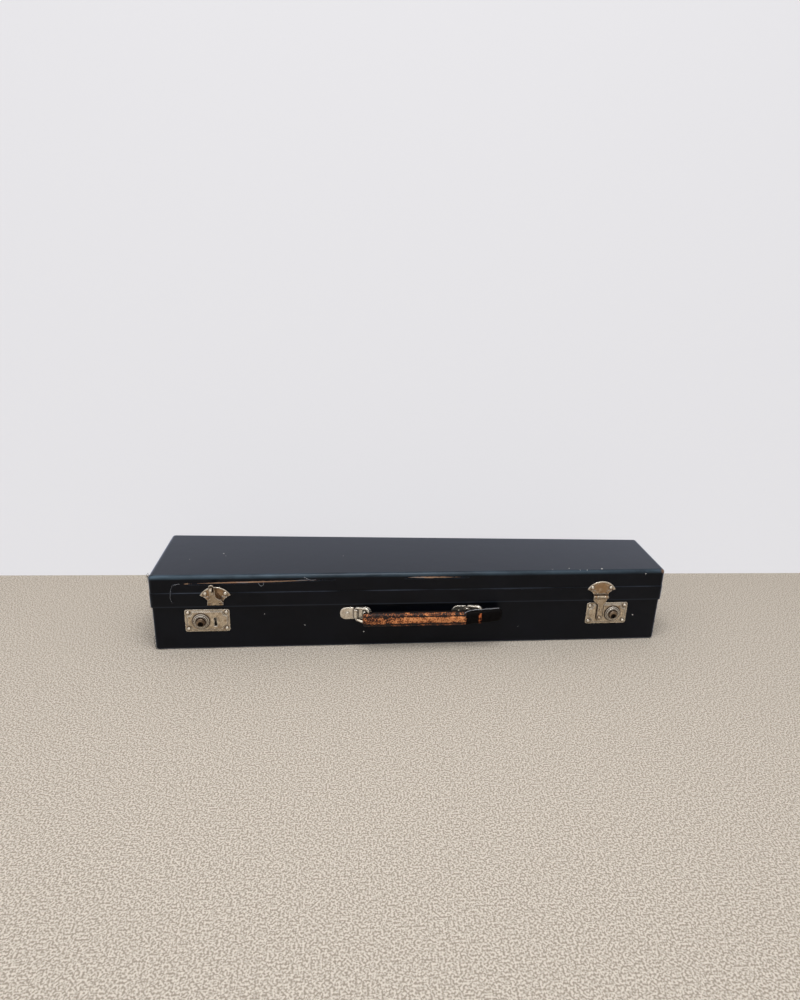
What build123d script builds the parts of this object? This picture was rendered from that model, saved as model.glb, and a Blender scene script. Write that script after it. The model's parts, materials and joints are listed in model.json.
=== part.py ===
from build123d import *
from math import atan, cos, radians, sin, tan
import os

os.makedirs("parts", exist_ok=True)

# A hard, covered instrument case for a straight soprano saxophone. In plan it is a long
# trapezoid: the bell end (-X) is deeper than the neck end (+X). The latches and the handle
# are on the front (-Y), the lid's hinges are on the back, and the case lies on Z = 0.
# All sizes are in millimetres.

# Case
case_length = 700.0
bell_end_depth = 142.0
neck_end_depth = 110.0
base_height = 64.0
lid_height = 45.7
rim_gap = 0.3
base_step = 2.0
corner_radius = 6.0
lid_edge_radius = 5.0
base_edge_radius = 3.5

# Wood, covering and lining
wall_board = 7.0
panel_board = 5.0
covering = 0.8
band_height = 21.0
band_proud = 0.5
under_lap = 8.0
under_lap_gap = 0.3
wall_lining = 1.5
floor_lining = 3.0
lid_pad = 5.0
lip_thickness = 2.0
lip_drop = 16.0
lip_stand = 5.0
lip_clearance = 1.0

# Cradle blocks that carry the instrument: place along the case, thickness, cradle radius
bell_block_inset = 65.0
neck_block_inset = 41.0
body_block_shift = -10.0
block_radii = {"bell": 33.0, "body": 24.0, "neck": 15.0}
block_thickness = 28.0
block_drop = 6.0
cradle_drop = 7.0
block_round = 2.5

# Tears in the lid's covering, just under its front top edge. The first is measured from the bell
# end, the second from the middle, and the drops are measured down from the lid's top.
first_tear_inset = 50.0
first_tear_length = 195.0
first_tear_drops = (11.2, 7.6)
second_tear_start = -16.0
second_tear_length = 90.0
second_tear_drops = (6.4, 6.5)
tear_width = 2.6

# Where the fittings sit along the front: they are centred a little towards the bell end. Drops
# are measured down from the base's rim, rises up from the lid's, and the grip's reach is up from
# the middle of its brackets.
fittings_shift = -2.0
lock_inset = 75.0
hasp_inset = 12.7
handle_shift = -1.2
bridge_spacing = 153.0

# Rivets
rivet_head_radius = 2.3
rivet_head_height = 1.4
rivet_shank_radius = 1.2
rivet_shank_depth = 5.0
rivet_hole_clearance = 0.05

# Lock plate with its raised panel, boss and staple slot
lock_drop = 20.1
lock_width = 58.5
lock_depth = 33.0
lock_corner = 3.0
lock_sheet = 0.6
lock_panel_margin = 3.0
lock_panel_rise = 0.9
lock_panel_slope = 45.0
lock_notch_radius = 4.8
lock_rivet_spacing = (50.0, 24.0)
boss_offset = 8.2
boss_drop = 20.5
boss_radii = (10.8, 9.0, 7.4)
boss_rises = (1.4, 1.0, 0.6)
boss_slope = 12.0
slot_clearance = 0.4
slot_foot_drop = 1.4
slot_eye_radius = 2.4
slot_foot_width = 4.0
slot_foot_height = 5.0

# Lock works behind the plate
case_width = 44.0
case_depth = 22.0
case_sheet = 0.8
case_sink = 5.6
recess_clearance = 0.2
plug_radius = 5.6
plug_proud = 2.8
plug_clearance = 0.08
plug_edge = 1.0
keyhole_radius = 1.2
keyhole_depth = 4.0
keyhole_slot = 3.4
cam_radius = 3.2
cam_pin_radius = 1.5
cam_clearance = 0.3
bolt_thickness = 1.6
bolt_sink = 1.5
bolt_nose_height = 3.0
bolt_tail = 7.0
bolt_margin = 2.0
bolt_rest_gap = 0.6

# Hasp: fan plate on the lid, pin, flap and staple
hasp_sheet = 1.2
fan_half_width = 19.8
fan_wing_rise = 18.0
fan_rise = 12.1
fan_neck_flare = (2.0, 3.0)
fan_rim_width = 1.8
fan_rim_depth = 0.4
fan_rivet_rise = 2.5
fan_rivet_spacing = 26.0
hasp_axis_rise = 6.7
hasp_barrel_radius = 2.3
hasp_barrel_length = 20.4
hasp_knuckle_length = 9.4
hasp_knuckle_gap = 0.3
hasp_pin_radius = 1.0
hasp_pin_clearance = 0.08
flap_stand_off = 0.3
flap_shoulder = 3.0
flap_strip_offset = 2.0
flap_half_width = 9.8
flap_strip_half_width = 3.5
flap_length = 36.4
flap_neck_raise = 2.5
flap_sweep = 6.0
flap_edge = 0.3
left_hasp_opening = 160.0
staple_thickness = 2.4
staple_drop = 18.4
staple_length = 8.6
staple_reach = 6.5
staple_wall = 1.9
staple_strip_width = 4.0
staple_strip = 0.5
staple_strip_lap = 1.9
staple_rivet_drop = 14.2
staple_rivet_radius = 1.3
nub_radius = 2.2
nub_height = 2.0

# Handle brackets and rings
bracket_length = 42.0
bracket_depth = 17.5
bracket_corner = 7.5
bracket_sheet = 1.2
bracket_drop = 13.0
bracket_rivet_spacing = 23.0
bridge_length = 13.0
bridge_wall = 1.2
ring_wire_radius = 1.7
ring_clearance = 0.08
ring_floor_gap = 0.3
ring_reach = 19.0
ring_near_half_height = 8.7
ring_far_half_height = 11.4
ring_near_bend = 3.0
ring_far_bend = 4.0
ring_rest_angle = 30.0
ring_notch_clearance = 0.7

# Grip
grip_wall = 2.2
grip_core_half_height = 5.2
grip_front = 6.25
grip_back = 4.75
grip_overlap = 7.5
grip_cover_reach = (-13.8, 5.9)
grip_far_reach = (-13.4, 5.7)
grip_tip_reach = (-7.6, 10.8)
grip_round = 4.2
sleeve_before_eye = 18.0
sleeve_past_eye = 30.2
sweep_clearance = 0.5

# Lid hinges at the back
hinge_inset = 130.0
hinge_length = 40.0
hinge_leaf_depth = 14.0
hinge_sheet = 1.2
hinge_barrel_radius = 2.5
hinge_centre_knuckle = 19.4
hinge_knuckle_gap = 0.3
hinge_pin_radius = 1.1
hinge_pin_clearance = 0.08
hinge_stand_off = 0.3
hinge_rivet_spacing = 13.0
hinge_rivet_inset = 5.0

# Derived sizes of the case
taper = (bell_end_depth - neck_end_depth) / 2 / case_length
slant = atan(taper)
mean_half_depth = (bell_end_depth + neck_end_depth) / 4
lid_rim = base_height + rim_gap
case_height = lid_rim + lid_height
base_boards = base_step + covering
base_inside = base_boards + wall_board
lid_boards = band_proud + covering
lid_inside = lid_boards + wall_board
floor_top = covering + panel_board
lid_ceiling = case_height - covering - panel_board
block_places = {"bell": bell_block_inset - case_length / 2, "body": body_block_shift,
                "neck": case_length / 2 - neck_block_inset}

# Derived heights of the fittings, all carried by the rims
block_top = base_height - block_drop
cradle_height = base_height - cradle_drop
lock_height = base_height - lock_drop
boss_height = base_height - boss_drop
staple_high = base_height - staple_drop
staple_low = staple_high - staple_length
staple_rivet_height = base_height - staple_rivet_drop
bracket_height = base_height - bracket_drop
grip_cover_heights = [bracket_height + reach for reach in grip_cover_reach]
grip_far_heights = [bracket_height + reach for reach in grip_far_reach]
grip_tip_heights = [bracket_height + reach for reach in grip_tip_reach]
fan_wing_height = lid_rim + fan_wing_rise
hasp_axis_height = lid_rim + hasp_axis_rise

# Derived sizes of the fittings, with depths measured out from the base's covering
lock_spacing = case_length - 2 * lock_inset
hasp_spacing = lock_spacing - 2 * hasp_inset
lock_face = lock_sheet + lock_panel_rise
boss_face = lock_face + sum(boss_rises)
slot_place = hasp_inset - flap_strip_offset
cam_shift = cam_radius * sin(radians(45))
fan_top_height = fan_wing_height + fan_rise
fan_rivet_height = fan_wing_height + fan_rivet_rise
flap_back = base_step + flap_stand_off
staple_end = flap_back - staple_reach
hasp_axis_out = flap_stand_off + hasp_barrel_radius
flap_tip = hasp_axis_height - flap_length
ring_axis_out = ring_floor_gap + ring_wire_radius
ring_angle = radians(ring_rest_angle)
grip_axis_out = ring_axis_out + ring_reach * sin(ring_angle)
grip_shift = ring_reach * cos(ring_angle)
hinge_places = (hinge_inset - case_length / 2, case_length / 2 - hinge_inset)
hinge_axis_out = hinge_stand_off + hinge_barrel_radius
hinge_axis_height = base_height + rim_gap / 2

side_names = {-1: "left", 1: "right"}


def front_plane(inset=0.0):
    """Plane of the front, moved in by inset: x along it, y up from the floor, z outwards."""
    start = (0, -mean_half_depth + inset / cos(slant), 0)
    return Plane(origin=start, x_dir=(cos(slant), sin(slant), 0), z_dir=(sin(slant), -cos(slant), 0))


def back_plane(inset=0.0):
    """Plane of the back, laid out as front_plane is."""
    start = (0, mean_half_depth - inset / cos(slant), 0)
    return Plane(origin=start, x_dir=(-cos(slant), sin(slant), 0), z_dir=(sin(slant), cos(slant), 0))


def section_of(face, place):
    """Plane square to a face at a place along it: x outwards from the face, y up."""
    return Plane(origin=face.from_local_coords((place, 0, 0)), x_dir=face.z_dir, z_dir=-face.x_dir)


def level_of(face, height):
    """Level plane at a height: x along a face, y outwards from it, z down."""
    return Plane(origin=face.from_local_coords((0, height, 0)), x_dir=face.x_dir, z_dir=(0, 0, -1))


def plan_corners(inset):
    """Corners of the tapered plan, moved in by inset, anticlockwise from the front of the bell end."""
    half_length = case_length / 2 - inset
    return [(x, side * (mean_half_depth - taper * x - inset / cos(slant)))
            for x, side in ((-half_length, -1), (half_length, -1), (half_length, 1), (-half_length, 1))]


def case_block(inset, bottom, top, top_round=0.0, bottom_round=0.0):
    """Solid of the tapered plan between two heights, with its corners and edges rounded."""
    corner = max(corner_radius - inset, 0.0)
    with BuildPart() as block:
        with BuildSketch(Plane.XY.offset(bottom)) as plan:
            Polygon(*plan_corners(inset), align=None)
            if corner > 0:
                fillet(plan.vertices(), corner)
        extrude(amount=top - bottom)
        if top_round > 0:
            fillet(block.faces().sort_by(Axis.Z)[-1].edges(), top_round)
        if bottom_round > 0:
            fillet(block.faces().sort_by(Axis.Z)[0].edges(), bottom_round)
    return block.part


def case_ring(outer_inset, inner_inset, bottom, top):
    """Closed band of the tapered plan between two insets."""
    with BuildPart() as ring:
        add(case_block(outer_inset, bottom, top))
        add(case_block(inner_inset, bottom, top), mode=Mode.SUBTRACT)
    return ring.part


def long_board(outline_inset, thickness, side, bottom, top):
    """Front (side -1) or back (side 1) board, as long as the case, with rounded outer corners."""
    outer = [p for p in plan_corners(outline_inset) if p[1] * side > 0]
    half_length = case_length / 2 - outline_inset
    depth = (outline_inset + thickness) / cos(slant)
    inner = [(x, side * (mean_half_depth - taper * x - depth)) for x in (half_length, -half_length)]
    outer.sort()
    with BuildPart() as board:
        with BuildSketch(Plane.XY.offset(bottom)) as plan:
            Polygon(*outer, *inner, align=None)
            if corner_radius > outline_inset:
                outside = [v for v in plan.vertices() if (v.X, v.Y) == min(
                    plan_corners(outline_inset), key=lambda p: abs(p[0] - v.X) + abs(p[1] - v.Y))]
                fillet(outside, corner_radius - outline_inset)
        extrude(amount=top - bottom)
    return board.part


def end_board(outline_inset, thickness, end, bottom, top):
    """Bell end (end -1) or neck end (end 1) board, fitted between the long boards."""
    outer_x = end * (case_length / 2 - outline_inset)
    inner_x = end * (case_length / 2 - outline_inset - thickness)
    depth = (outline_inset + thickness) / cos(slant)
    corners = [(x, s * (mean_half_depth - taper * x - depth)) for x, s in
               ((outer_x, -1), (inner_x, -1), (inner_x, 1), (outer_x, 1))]
    with BuildPart() as board:
        with BuildSketch(Plane.XY.offset(bottom)):
            Polygon(*corners, align=None)
        extrude(amount=top - bottom)
    return board.part


def lock_place(side):
    return fittings_shift + side * lock_spacing / 2


def hasp_place(side):
    return fittings_shift + side * hasp_spacing / 2


def bridge_place(side):
    return fittings_shift + handle_shift + side * bridge_spacing / 2


def slot_centre(side):
    return lock_place(side) - side * slot_place


def boss_centre(side):
    return lock_place(side) + side * boss_offset


def lock_rivet_points(side):
    across, up = lock_rivet_spacing
    return [(lock_place(side) + a * across / 2, lock_height + b * up / 2) for a in (-1, 1) for b in (-1, 1)]


def bracket_rivet_points(side):
    return [(bridge_place(side) + a * bracket_rivet_spacing / 2, bracket_height) for a in (-1, 1)]


def fan_rivet_points(side):
    return [(hasp_place(side) + a * fan_rivet_spacing / 2, fan_rivet_height) for a in (-1, 1)]


def hinge_rivet_points(height):
    return [(place + a * hinge_rivet_spacing, height) for place in hinge_places for a in (-1, 0, 1)]


base_front = front_plane(base_step)
base_back = back_plane(base_step)
lid_front = front_plane()
lid_back = back_plane()

base_leaf_rivets = hinge_rivet_points(base_height - hinge_leaf_depth + hinge_rivet_inset)
lid_leaf_rivets = hinge_rivet_points(lid_rim + hinge_leaf_depth - hinge_rivet_inset)
base_front_rivets = [p for side in (-1, 1) for p in lock_rivet_points(side) + bracket_rivet_points(side)]
lid_front_rivets = [p for side in (-1, 1) for p in fan_rivet_points(side)]


def drill_rivets(face, points):
    """Cuts the holes for the rivets of one face out of the part being built."""
    with BuildSketch(face) as holes:
        with Locations(*points):
            Circle(rivet_shank_radius + rivet_hole_clearance)
    extrude(holes.sketch, amount=rivet_shank_depth + rivet_hole_clearance, both=True, mode=Mode.SUBTRACT)


def rivets(face, seat, points):
    """Domed rivets whose heads sit seat above a face and whose shanks go down into the wood."""
    with BuildPart() as group:
        with BuildSketch(face.offset(seat)):
            with Locations(*points):
                Circle(rivet_head_radius)
        extrude(amount=rivet_head_height)
        heads = group.faces().sort_by(Axis(face.origin, face.z_dir))[-len(points):]
        fillet(heads.edges(), rivet_head_height * 0.9)
        with BuildSketch(face.offset(seat)):
            with Locations(*points):
                Circle(rivet_shank_radius)
        extrude(amount=-rivet_shank_depth - seat)
    return group.part


def save(name, part):
    part.label = name
    export_step(part, f"parts/{name}.step")


# Base boards

with BuildPart() as base_bottom_board:
    add(case_block(base_boards, covering, floor_top, bottom_round=base_edge_radius - covering))

with BuildPart() as base_front_board:
    add(long_board(base_boards, wall_board, -1, floor_top, base_height - covering))
    for side in (-1, 1):
        with BuildSketch(base_front):
            with Locations((lock_place(side), lock_height)):
                Rectangle(case_width + 2 * recess_clearance, case_depth + 2 * recess_clearance)
        extrude(amount=-case_sink - recess_clearance, mode=Mode.SUBTRACT)
    drill_rivets(base_front, base_front_rivets)

with BuildPart() as base_back_board:
    add(long_board(base_boards, wall_board, 1, floor_top, base_height - covering))
    drill_rivets(base_back, base_leaf_rivets)

save("base_bottom_board", base_bottom_board.part)
save("base_front_board", base_front_board.part)
save("base_back_board", base_back_board.part)
save("base_bell_end_board", end_board(base_boards, wall_board, -1, floor_top, base_height - covering))
save("base_neck_end_board", end_board(base_boards, wall_board, 1, floor_top, base_height - covering))

# Base covering: one skin round the sides, turned over the rim and under the bottom edge, and
# one flat sheet on the bottom

with BuildPart() as base_side_covering:
    add(case_block(base_step, 0, base_height, bottom_round=base_edge_radius))
    add(case_block(base_boards, covering, base_height - covering,
                   bottom_round=base_edge_radius - covering), mode=Mode.SUBTRACT)
    add(case_block(base_inside, base_height / 2, base_height), mode=Mode.SUBTRACT)
    add(case_block(base_step + under_lap, 0, covering), mode=Mode.SUBTRACT)
    for side in (-1, 1):
        with BuildSketch(base_front):
            with Locations((lock_place(side), lock_height)):
                Rectangle(case_width + 2 * recess_clearance, case_depth + 2 * recess_clearance)
        extrude(amount=-case_sink, mode=Mode.SUBTRACT)
    drill_rivets(base_front, base_front_rivets)
    drill_rivets(base_back, base_leaf_rivets)

save("base_side_covering", base_side_covering.part)
save("base_bottom_covering", case_block(base_step + under_lap + under_lap_gap, 0, covering))

# Base lining, and the lip inside the rim that keeps dust out and lines the lid up

save("base_floor_lining", case_block(base_inside, floor_top, floor_top + floor_lining))
save("base_wall_lining", case_ring(base_inside, base_inside + wall_lining, floor_top + floor_lining,
                                   base_height - lip_drop))

lip_bottom = base_height - lip_drop
lip_top = lid_rim + lip_stand

save("front_lip", long_board(base_inside, lip_thickness, -1, lip_bottom, lip_top))
save("bell_end_lip", end_board(base_inside, lip_thickness, -1, lip_bottom, lip_top))
save("neck_end_lip", end_board(base_inside, lip_thickness, 1, lip_bottom, lip_top))

# Cradle blocks

for name, place in block_places.items():
    with BuildPart() as block:
        with BuildSketch(Plane.XY.offset(floor_top + floor_lining)):
            Polygon(*plan_corners(base_inside + lip_thickness), align=None)
            with Locations((place, 0)):
                Rectangle(block_thickness, bell_end_depth, mode=Mode.INTERSECT)
        extrude(amount=block_top - floor_top - floor_lining)
        with BuildSketch(Plane.YZ.offset(place)):
            with Locations((0, cradle_height)):
                Circle(block_radii[name])
        extrude(amount=block_thickness, both=True, mode=Mode.SUBTRACT)
        fillet(block.faces().group_by(Axis.Z)[-1].edges(), block_round)
    save(f"{name}_block", block.part)

# Lid boards

with BuildPart() as lid_top_board:
    add(case_block(lid_boards, lid_ceiling, case_height - covering, top_round=lid_edge_radius - covering))

with BuildPart() as lid_front_board:
    add(long_board(lid_boards, wall_board, -1, lid_rim + covering, lid_ceiling))
    drill_rivets(lid_front, lid_front_rivets)

with BuildPart() as lid_back_board:
    add(long_board(lid_boards, wall_board, 1, lid_rim + covering, lid_ceiling))
    drill_rivets(lid_back, lid_leaf_rivets)

save("lid_top_board", lid_top_board.part)
save("lid_front_board", lid_front_board.part)
save("lid_back_board", lid_back_board.part)
save("lid_bell_end_board", end_board(lid_boards, wall_board, -1, lid_rim + covering, lid_ceiling))
save("lid_neck_end_board", end_board(lid_boards, wall_board, 1, lid_rim + covering, lid_ceiling))

# Lid covering, torn open in two places under the front top edge, and the proud band round its rim


def tear(start, length, drops):
    """Cuts a long tear, widest a third of the way along it, through the covering of the lid's front."""
    low, high = (case_height - drop for drop in drops)
    rise = high - low
    half = tear_width / 2
    with BuildSketch(lid_front) as opening:
        with BuildLine():
            Spline((start, low), (start + length / 3, low + rise / 3 + half), (start + length, high))
            Spline((start + length, high), (start + length / 3, low + rise / 3 - half), (start, low))
        make_face()
    extrude(opening.sketch, amount=-band_proud - covering - rivet_hole_clearance, mode=Mode.SUBTRACT)


with BuildPart() as lid_covering:
    add(case_block(band_proud, lid_rim, case_height, top_round=lid_edge_radius))
    add(case_block(lid_boards, lid_rim + covering, case_height - covering,
                   top_round=lid_edge_radius - covering), mode=Mode.SUBTRACT)
    add(case_block(lid_inside, lid_rim, lid_ceiling), mode=Mode.SUBTRACT)
    drill_rivets(lid_front, lid_front_rivets)
    drill_rivets(lid_back, lid_leaf_rivets)
    tear(first_tear_inset - case_length / 2, first_tear_length, first_tear_drops)
    tear(second_tear_start, second_tear_length, second_tear_drops)

with BuildPart() as lid_band:
    add(case_ring(0, band_proud, lid_rim, lid_rim + band_height))
    drill_rivets(lid_front, lid_front_rivets)
    drill_rivets(lid_back, lid_leaf_rivets)

save("lid_covering", lid_covering.part)
save("lid_band", lid_band.part)

# Lid lining

lid_lining_bottom = lip_top + lip_clearance

save("lid_top_lining", case_block(lid_inside, lid_ceiling - lid_pad, lid_ceiling))
save("lid_wall_lining", case_ring(lid_inside, lid_inside + wall_lining, lid_lining_bottom,
                                  lid_ceiling - lid_pad))


# Lock plates


def lock_plate(side):
    """Pressed plate with a raised panel, a stepped boss and a slot for the staple."""
    slot_low = staple_low - slot_foot_drop
    slot_width = staple_thickness + 2 * flap_edge
    with BuildPart() as plate:
        with BuildSketch(base_front):
            with Locations((lock_place(side), lock_height)):
                RectangleRounded(lock_width, lock_depth, lock_corner)
        extrude(amount=lock_sheet)
        with BuildSketch(base_front.offset(lock_sheet)):
            with Locations((lock_place(side), lock_height)):
                Rectangle(lock_width - 2 * lock_panel_margin, lock_depth - 2 * lock_panel_margin)
            with Locations(*lock_rivet_points(side)):
                Circle(lock_notch_radius, mode=Mode.SUBTRACT)
        extrude(amount=lock_panel_rise, taper=lock_panel_slope)
        level = lock_face
        for radius, rise in zip(boss_radii, boss_rises):
            with BuildSketch(base_front.offset(level)):
                with Locations((boss_centre(side), boss_height)):
                    Circle(radius)
            extrude(amount=rise, taper=boss_slope)
            level += rise
        with BuildSketch(base_front):
            with Locations((boss_centre(side), boss_height)):
                Circle(plug_radius + plug_clearance)
        extrude(amount=boss_face, mode=Mode.SUBTRACT)
        with BuildSketch(base_front):
            with Locations((slot_centre(side), staple_high + slot_clearance)):
                Circle(slot_eye_radius)
            with Locations((slot_centre(side), slot_low)):
                Rectangle(slot_width, staple_high - slot_low, align=(Align.CENTER, Align.MIN))
                Rectangle(slot_foot_width, slot_foot_height, align=(Align.CENTER, Align.MIN))
        extrude(amount=lock_face, mode=Mode.SUBTRACT)
        drill_rivets(base_front, lock_rivet_points(side))
    return plate.part


def lock_case(side):
    """Sheet-metal tray behind the plate that guides the bolt."""
    with BuildPart() as case:
        with BuildSketch(base_front):
            with Locations((lock_place(side), lock_height)):
                Rectangle(case_width, case_depth)
        extrude(amount=-case_sink)
        with BuildSketch(base_front):
            with Locations((lock_place(side), lock_height)):
                Rectangle(case_width - 2 * case_sheet, case_depth - 2 * case_sheet)
        extrude(amount=-case_sink + case_sheet, mode=Mode.SUBTRACT)
    return case.part


def lock_plug(side):
    """Plug that the key turns: barrel, keyhole and the eccentric pin that drives the bolt."""
    barrel_end = -bolt_sink + cam_clearance
    pin_end = -bolt_sink - bolt_thickness - cam_clearance
    with BuildPart() as plug:
        with BuildSketch(base_front.offset(barrel_end)):
            with Locations((boss_centre(side), boss_height)):
                Circle(plug_radius)
        extrude(amount=boss_face + plug_proud - barrel_end)
        outer = plug.faces().sort_by(Axis(base_front.origin, base_front.z_dir))[-1]
        fillet(outer.edges(), plug_edge)
        with BuildSketch(base_front.offset(boss_face + plug_proud)):
            with Locations((boss_centre(side), boss_height - keyhole_radius)):
                Circle(keyhole_radius)
                Rectangle(keyhole_radius, keyhole_slot, align=(Align.CENTER, Align.MAX))
        extrude(amount=-keyhole_depth, mode=Mode.SUBTRACT)
        with BuildSketch(base_front.offset(barrel_end)):
            with Locations((boss_centre(side) + side * cam_shift, boss_height + cam_shift)):
                Circle(cam_pin_radius)
        extrude(amount=pin_end - barrel_end)
    return plug.part


def lock_bolt(side):
    """Sliding bolt, drawn back: slotted body round the plug's pin, and the nose for the staple."""
    pin_low = boss_height + cam_shift - cam_pin_radius - cam_clearance
    pin_high = boss_height + cam_radius + cam_pin_radius + cam_clearance
    body_top = pin_high + bolt_margin
    nose_low = (staple_low + staple_high - bolt_nose_height) / 2
    tail = boss_centre(side) + side * bolt_tail
    shoulder = boss_centre(side) + side * (cam_shift - cam_pin_radius - cam_clearance - bolt_margin)
    nose = slot_centre(side) + side * (staple_thickness / 2 + bolt_rest_gap)
    with BuildPart() as bolt:
        with BuildSketch(base_front.offset(-bolt_sink)):
            with Locations(((tail + shoulder) / 2, (nose_low + body_top) / 2)):
                Rectangle(abs(tail - shoulder), body_top - nose_low)
            with Locations(((tail + nose) / 2, nose_low + bolt_nose_height / 2)):
                Rectangle(abs(tail - nose), bolt_nose_height)
            with Locations((boss_centre(side) + side * cam_shift, (pin_low + pin_high) / 2)):
                Rectangle(2 * (cam_pin_radius + cam_clearance), pin_high - pin_low, mode=Mode.SUBTRACT)
        extrude(amount=-bolt_thickness)
    return bolt.part


# Hasps


def hasp_plate(side):
    """Fan-shaped plate on the lid with a rimmed top and the two outer knuckles."""
    x = hasp_place(side)
    neck = hasp_barrel_length / 2
    waist = hasp_axis_height + hasp_barrel_radius
    gap_half = hasp_knuckle_length / 2 + hasp_knuckle_gap
    clear = hasp_barrel_radius + hasp_knuckle_gap
    flare, drop = fan_neck_flare
    fan_radius = (fan_half_width ** 2 + fan_rise ** 2) / (2 * fan_rise)
    with BuildPart() as plate:
        with BuildSketch(lid_front):
            with BuildLine():
                ThreePointArc((x + fan_half_width, fan_wing_height), (x, fan_top_height),
                              (x - fan_half_width, fan_wing_height))
                Bezier((x - fan_half_width, fan_wing_height), (x - neck - flare, fan_wing_height - drop),
                       (x - neck, waist + flare), (x - neck, waist))
                Polyline((x - neck, waist), (x - neck, hasp_axis_height), (x + neck, hasp_axis_height),
                         (x + neck, waist))
                Bezier((x + neck, waist), (x + neck, waist + flare),
                       (x + neck + flare, fan_wing_height - drop), (x + fan_half_width, fan_wing_height))
            make_face()
        extrude(amount=hasp_sheet)
        with BuildSketch(lid_front.offset(hasp_sheet)):
            with Locations((x, fan_top_height - fan_radius)):
                Circle(fan_radius - fan_rim_width)
            with Locations((x, fan_wing_height - fan_rim_width)):
                Rectangle(2 * (fan_half_width - 2 * fan_rim_width), fan_top_height,
                          align=(Align.CENTER, Align.MIN), mode=Mode.INTERSECT)
            with Locations((x, fan_wing_height)):
                Rectangle(2 * (neck - fan_rim_width), fan_wing_height - waist - fan_rim_width,
                          align=(Align.CENTER, Align.MAX))
        extrude(amount=-fan_rim_depth, mode=Mode.SUBTRACT)
        with BuildSketch(section_of(lid_front, x)):
            with Locations((hasp_axis_out, hasp_axis_height)):
                Circle(hasp_barrel_radius)
        extrude(amount=neck, both=True)
        with BuildSketch(section_of(lid_front, x)):
            with Locations((hasp_axis_out, hasp_axis_height)):
                Rectangle(2 * hasp_axis_out, 2 * clear)
        extrude(amount=gap_half, both=True, mode=Mode.SUBTRACT)
        with BuildSketch(section_of(lid_front, x)):
            with Locations((hasp_axis_out, hasp_axis_height)):
                Circle(hasp_pin_radius + hasp_pin_clearance)
        extrude(amount=neck, both=True, mode=Mode.SUBTRACT)
        drill_rivets(lid_front, fan_rivet_points(side))
    return plate.part


def hasp_pin(side):
    with BuildPart() as pin:
        with BuildSketch(section_of(lid_front, hasp_place(side))):
            with Locations((hasp_axis_out, hasp_axis_height)):
                Circle(hasp_pin_radius)
        extrude(amount=hasp_barrel_length / 2, both=True)
    return pin.part


def hasp_flap(side):
    """Flap of the hasp, hanging closed: knuckle, bell-shaped shoulders and a narrow tongue."""
    x = hasp_place(side)
    knuckle_half = hasp_knuckle_length / 2
    shoulder = hasp_axis_height - flap_shoulder
    near = x + side * (flap_strip_offset + flap_strip_half_width)
    far = x + side * (flap_strip_offset - flap_strip_half_width)
    wide = side * flap_half_width
    turn = flap_tip + flap_strip_half_width
    neck = (shoulder + turn) / 2 + flap_neck_raise
    sweep = neck + flap_sweep
    with BuildPart() as flap:
        with BuildSketch(lid_front.offset(flap_stand_off)):
            with BuildLine():
                Line((x - wide, shoulder), (x + wide, shoulder))
                Bezier((x + wide, shoulder), (x + wide, sweep), (near, sweep), (near, neck))
                Line((near, neck), (near, turn))
                ThreePointArc((near, turn), (x + side * flap_strip_offset, flap_tip), (far, turn))
                Line((far, turn), (far, neck))
                Bezier((far, neck), (far, sweep), (x - wide, sweep), (x - wide, shoulder))
            make_face()
            with Locations((x, (shoulder + hasp_axis_height) / 2)):
                Rectangle(hasp_knuckle_length, flap_shoulder)
        extrude(amount=hasp_sheet)
        with BuildSketch(section_of(lid_front, x)):
            with Locations((hasp_axis_out, hasp_axis_height)):
                Circle(hasp_barrel_radius)
        extrude(amount=knuckle_half, both=True)
        with BuildSketch(section_of(lid_front, x)):
            with Locations((hasp_axis_out, hasp_axis_height)):
                Circle(hasp_pin_radius + hasp_pin_clearance)
        extrude(amount=knuckle_half, both=True, mode=Mode.SUBTRACT)
        with BuildSketch(lid_front):
            with Locations((slot_centre(side), staple_rivet_height), (slot_centre(side), turn)):
                Circle(rivet_shank_radius + rivet_hole_clearance)
        extrude(amount=2 * hasp_sheet, mode=Mode.SUBTRACT)
    return flap.part


def hasp_staple(side):
    """Staple behind the flap: strip, looped tongue with a window, and the two rivets through the flap."""
    x = slot_centre(side)
    turn = flap_tip + flap_strip_half_width
    back = base_front.offset(flap_back)
    front = back.offset(hasp_sheet)
    strip_top = staple_rivet_height + staple_strip_width / 2
    strip_low = turn - staple_strip_lap
    with BuildPart() as staple:
        with BuildSketch(back):
            with Locations((x, strip_low)):
                Rectangle(staple_strip_width, strip_top - strip_low, align=(Align.CENTER, Align.MIN))
        extrude(amount=-staple_strip)
        with BuildSketch(section_of(base_front, x)) as loop:
            with Locations(((flap_back - staple_strip + staple_end) / 2, (staple_low + staple_high) / 2)):
                Rectangle(flap_back - staple_strip - staple_end, staple_high - staple_low)
            fillet(loop.vertices().group_by(Axis(base_front.origin, base_front.z_dir))[0], staple_wall / 2)
            window_out = -bolt_sink + slot_clearance
            window_in = -bolt_sink - bolt_thickness - slot_clearance
            with Locations(((window_out + window_in) / 2, (staple_low + staple_high) / 2)):
                Rectangle(window_out - window_in, bolt_nose_height + 2 * slot_clearance, mode=Mode.SUBTRACT)
        extrude(amount=staple_thickness / 2, both=True)
        with BuildSketch(back):
            with Locations((x, staple_rivet_height), (x, turn)):
                Circle(rivet_shank_radius)
        extrude(amount=hasp_sheet)
        for height, radius, rise in ((staple_rivet_height, staple_rivet_radius, staple_rivet_radius / 2),
                                     (turn, nub_radius, nub_height)):
            with BuildSketch(front):
                with Locations((x, height)):
                    Circle(radius + rivet_hole_clearance)
            extrude(amount=rise)
            head = staple.faces().sort_by(Axis(front.origin, front.z_dir))[-1]
            fillet(head.edges(), min(rise, radius) * 0.8)
    return staple.part


# The left hasp stands open at rest, so its flap and staple are turned up about the hasp's pin


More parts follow.
